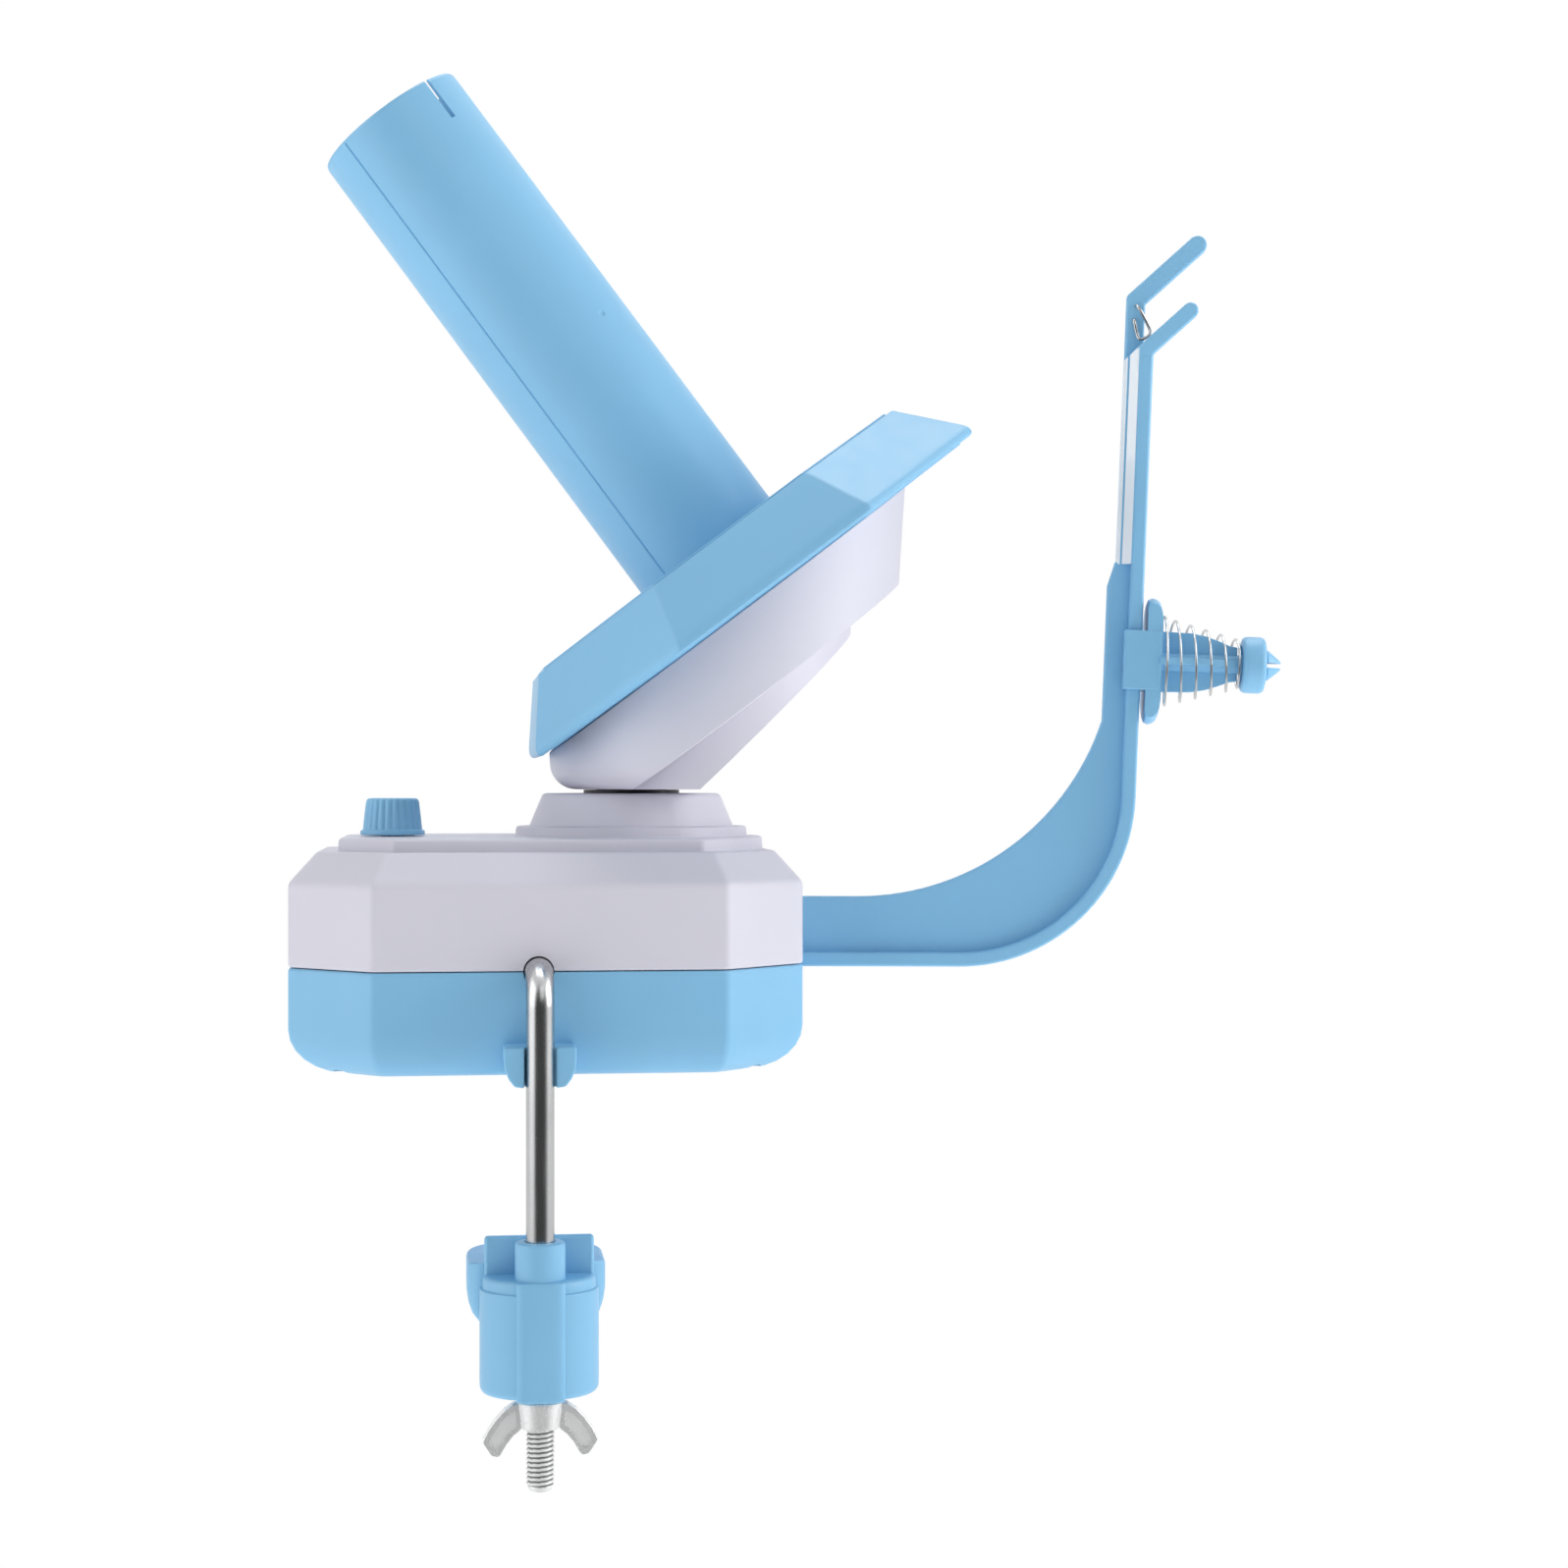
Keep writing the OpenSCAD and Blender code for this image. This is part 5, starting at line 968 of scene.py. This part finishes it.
# Tension spring: a conical spring of thin steel wire between the disc and the cap, which presses the cap
# outward and shortens when the cap is pushed in. Its end curls lie nearly flat.
spring_wire_d = 0.6
spring_wide = 22.0
spring_narrow = 10.8
spring_play = 0.15
cap_foot = 23.1
spring_x0 = disc_x + spring_play + spring_wire_d / 2
spring_x1 = cap_foot - spring_play - spring_wire_d / 2
spring_curls = 6
spring_steps = 40
end_share = 0.6 / spring_curls
end_slope = 0.25
spring_points = []
for k in range(spring_curls * spring_steps + 1):
    share = k / (spring_curls * spring_steps)
    if share < end_share:
        rise = end_slope * share
    elif share > 1 - end_share:
        rise = 1 - end_slope * (1 - share)
    else:
        middle_share = (share - end_share) / (1 - 2 * end_share)
        rise = end_slope * end_share + middle_share * (1 - 2 * end_slope * end_share)
    r = (spring_wide + (spring_narrow - spring_wide) * share - spring_wire_d) / 2
    a = 2 * pi * k / spring_steps
    spring_points.append((spring_x0 + (spring_x1 - spring_x0) * rise, r * cos(a), r * sin(a)))
tension_spring = raw("tension_spring_wire", wire(spring_points, spring_wire_d / 2, 8), tension_place)
spring_steel = metal("spring_steel", (0.62, 0.63, 0.64), 0.2)
settle(tension_spring, spring_steel, "base", "steel", "tension_spring", sharp=70)
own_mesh(tension_spring)

# Tension cap: a round cup moulded in the same blue plastic, with a hole through its end. It slides on
# the post's neck, the spring holds it out against the arrow tip, and it is pushed in to let yarn in.
tension_cap = raw("tension_cap_cup", turned([
    (4.5, cap_foot), (5.4, cap_foot), (6.05, 23.35), (6.4, 23.85), (6.5, 24.5), (6.5, 27.1), (6.4, 27.75),
    (6.05, 28.25), (5.4, 28.5), (3.0, 28.5), (2.3, 28.4), (2.3, 27.0), (4.5, 27.0)], 72, True),
    tension_place @ along_x)
settle(tension_cap, blue_plastic, "cap", "blue_plastic", "tension_cap")

# Clamp rod: a bent round steel bar, plated, its upper leg held between the two case halves and its lower end
# threaded for the wing nut.
rod_bend = 7.0
rod_end = -85.6
thread_top = -48.6
rod_line = [(rod_x, -11.0, seam_z), (rod_x, -25.0, seam_z)]
rod_line += [(rod_x, y, z) for y, z in arc((rod_y + rod_bend, seam_z - rod_bend), rod_bend, 90, 180, 16)]
rod_line += [(rod_x, rod_y, -10.0), (rod_x, rod_y, thread_top)]
clamp_rod = raw("clamp_rod_bent", wire(rod_line, rod_r, 40))
thread_rings = []
thread_steps = 10
thread_sides = 40
thread_depth = 0.42
end_taper = 1.2
for k in range(int((thread_top - rod_end) * thread_steps) + 1):
    z = thread_top - k / thread_steps
    from_end = z - rod_end
    fade = min(1.0, k / 15, from_end / end_taper)
    crest = rod_r - max(0.0, end_taper - from_end) * 0.6
    ring = []
    for c in range(thread_sides):
        a = 2 * pi * c / thread_sides
        tooth = abs(((z - c / thread_sides) % 1.0) - 0.5) * 2
        r = crest - thread_depth * fade * min(1.0, max(0.0, tooth * 1.3 - 0.15))
        ring.append((rod_x + r * cos(a), rod_y + r * sin(a), z))
    thread_rings.append(ring)
rod_thread = raw("rod_thread", skin(thread_rings))
weld(clamp_rod, rod_thread)
plated_steel = metal("plated_steel", (0.56, 0.565, 0.57), 0.26)
settle(clamp_rod, plated_steel, "base", "plated_steel", "clamp_rod", sharp=50)
even_grain = (700.0, 700.0, 700.0)
# The thread takes two copies of the rod's steel. The crests get a lighter, duller one: its duller finish is
# rolled, and its lighter tone is painted highlight for the light the flanks catch. The roots get a dark one,
# which is painted shade in the grooves.
thread_painted_light = metal("thread_painted_light", (0.88, 0.885, 0.88), 0.42, even_grain, 0.1, 0.000003, 0.4)
thread_root_painted_shade = metal("thread_root_painted_shade", (0.22, 0.225, 0.225), 0.5, even_grain, 0.1, 0.000003, 0.5)
clamp_rod.data.materials.append(thread_painted_light)
clamp_rod.data.materials.append(thread_root_painted_shade)
# Crest faces get the painted highlight, and faces deep in the grooves get the painted shade.
for face in clamp_rod.data.polygons:
    if face.center.z < thread_top * 0.001:
        out = hypot(face.center.x * 1000 - rod_x, face.center.y * 1000 - rod_y)
        root_in_shade = out < rod_r - 0.26 and face.center.z * 1000 > rod_end + end_taper
        face.material_index = 2 if root_in_shade else 1

# Clamp block: the blue moulding that slides on the rod, a half-round block round a long sleeve, with a
# back plate and a broad jaw, round at the back, that presses up under the table.
block_r = 12.6
block_depth = 5.6
block_top = -41.3
block_foot = -66.0
hollow_r = 9.0
sleeve_r = 5.3
sleeve_top = -33.4
sleeve_foot = -66.4
back_y = -45.5
plate_t = 2.6
jaw_x = rod_x - 0.5
jaw_z = -39.2
jaw_half = 14.8
jaw_back = -15.5


def block_ring(inset, z):
    """One level of the block: half-round at the front, straight to the back plate."""
    r = block_r - inset
    side_y = back_y - plate_t
    depth = side_y - rod_y + block_depth - inset
    front = [(rod_x + x, side_y + y * depth / r) for x, y in arc((0, 0), r, 180, 360, 40)]
    return [(x, y, z) for x, y in front + [(rod_x + r, back_y - 1), (rod_x - r, back_y - 1)]]


block_levels = [(inset, block_top - drop) for inset, drop in (
    (4.0, 0.0), (1.7, 0.0), (1.1, 0.2), (0.75, 0.7), (0.65, 1.6), (0.6, 2.6), (0.15, 2.8), (0.0, 3.1))]
block_levels += [(inset, block_foot + rise) for inset, rise in (
    (0.0, 1.6), (0.15, 0.9), (0.5, 0.35), (0.9, 0.1), (1.4, 0.0))]
clamp_block = raw("clamp_block_body", skin([block_ring(inset, z) for inset, z in block_levels]))
rod_place = Matrix.Translation((rod_x, rod_y, 0))
block_hollow = pin((0, 0, -70), (0, 0, block_top - 4), hollow_r, 64)
block_hollow.transform(rod_place @ Matrix.Diagonal((1, (block_depth - 2) / hollow_r, 1, 1)))
carve(clamp_block, block_hollow)
block_sleeve = raw("block_sleeve", turned([
    (3.2, sleeve_foot), (4.8, sleeve_foot), (5.2, sleeve_foot + 0.2), (sleeve_r, sleeve_foot + 0.7),
    (sleeve_r, sleeve_top - 0.9), (5.1, sleeve_top - 0.3), (4.6, sleeve_top), (3.5, sleeve_top),
    (3.2, sleeve_top - 0.3)], 56, True), rod_place)
rib_front = []
for x, y in arc((0, 0), 1.0, 180, 360, 24):
    rib_front.append((copysign(abs(x) ** 0.55, x) * (sleeve_r - 0.1), -3.2 - 2.65 * abs(y) ** 0.55))
rib_levels = ((0.9, sleeve_foot), (0.97, sleeve_foot + 0.25), (1.0, sleeve_foot + 0.8),
              (1.0, block_top - 0.9), (0.97, block_top - 0.3), (0.9, block_top))
block_rib = raw("block_rib", skin([
    [(rod_x + x * s, rod_y + y * s, z) for x, y in rib_front] for s, z in rib_levels]))
back_plate = raw("back_plate", brick((rod_x - 11.6, back_y - plate_t, -43.5), (rod_x + 11.6, back_y, -33.3)))
soften(back_plate, 0.8, 3)


def jaw_ring(inset, z):
    """One level of the jaw: straight at the block, round at the back."""
    r = jaw_half - inset
    back = [(jaw_x + x, jaw_back - jaw_half + y) for x, y in arc((0, 0), r, 0, 180, 40)]
    front = back_y - 1.2
    corner = max(4.6 - inset, 0.6)
    left = arc((jaw_x - r + corner, front + corner), corner, 180, 270, 8)
    right = arc((jaw_x + r - corner, front + corner), corner, 270, 360, 8)
    return [(x, y, z) for x, y in back + left + right]


clamp_jaw = raw("clamp_jaw", skin([jaw_ring(inset, jaw_z - drop) for inset, drop in (
    (2.4, 0.0), (1.1, 0.0), (0.5, 0.15), (0.15, 0.5), (0.0, 1.1), (0.0, 6.0), (0.4, 8.6), (1.2, 10.8),
    (2.6, 12.4), (5.0, 13.2), (9.0, 13.7))]))
weld(clamp_block, block_sleeve, block_rib, back_plate, clamp_jaw)
settle(clamp_block, blue_plastic, "jaw", "blue_plastic", "clamp_block")

# Wing nut: a zinc casting, bright plated, with a tapered hub and two broad wings that have a raised edge
# round a sunk face. It runs up the rod's thread and lifts the jaw.
nut_top = -66.5
wing_half_t = 1.7
sunk_half_t = 1.3
wing_side = [(4.0, -0.6), (5.6, -0.7), (7.5, -1.9), (9.2, -3.7), (10.8, -5.9), (12.1, -8.4), (10.2, -11.3),
             (8.6, -11.7), (7.1, -9.1), (5.7, -7.3), (4.0, -5.9)]
wing_loop = [(p.x, p.y) for p in rounded_loop(wing_side, 0.9, 3)]
sunk_side = [(5.2, -2.0), (7.0, -3.0), (8.5, -4.7), (9.9, -6.8), (10.7, -8.5), (9.7, -10.0), (9.0, -10.2),
             (7.8, -8.3), (6.2, -6.3), (5.0, -5.2)]
nut_hub = raw("nut_hub", turned([
    (3.1, nut_top - 6.0), (3.9, nut_top - 6.0), (4.3, nut_top - 5.7), (4.9, nut_top - 0.8),
    (4.95, nut_top - 0.4), (4.6, nut_top), (3.4, nut_top), (3.1, nut_top - 0.3)], 56, True), rod_place)
nut_wings = []
for side in (-1, 1):
    edge_loop = [(rod_x + side * x, nut_top + z) for x, z in wing_loop]
    wing = raw("nut_wing", plate(edge_loop, rod_y - wing_half_t, rod_y + wing_half_t))
    soften(wing, 0.5, 3)
    sunk_loop = [(rod_x + side * x, nut_top + z) for x, z in sunk_side]
    carve(wing, plate(sunk_loop, rod_y - 3.0, rod_y - sunk_half_t),
          plate(sunk_loop, rod_y + sunk_half_t, rod_y + 3.0))
    nut_wings.append(wing)
weld(nut_hub, *nut_wings)
nut_hub.name = "wing_nut_casting"
cast_zinc = metal("cast_zinc", (0.93, 0.935, 0.93), 0.24, even_grain, 0.06, 0.000001, 0.45)
# The sunk faces take a rougher, less metallic and slightly darker copy of the zinc. The rougher finish is the
# casting's own, and the darker tone is painted shade that sets the bright rim off.
sunk_zinc_painted_shade = metal("sunk_zinc_painted_shade", (0.90, 0.905, 0.895), 0.4, even_grain, 0.12, 0.000003, 0.25)
settle(nut_hub, cast_zinc, "nut", "plated_steel", "wing_nut")
nut_hub.data.materials.append(sunk_zinc_painted_shade)
# The sunk faces get that copy, painted shade against the rim.
for face in nut_hub.data.polygons:
    off = abs(face.center.y * 1000 - rod_y)
    if abs(off - sunk_half_t) < 0.05 and abs(face.normal.y) > 0.9 and abs(face.center.x * 1000 - rod_x) > 5:
        face.material_index = 1
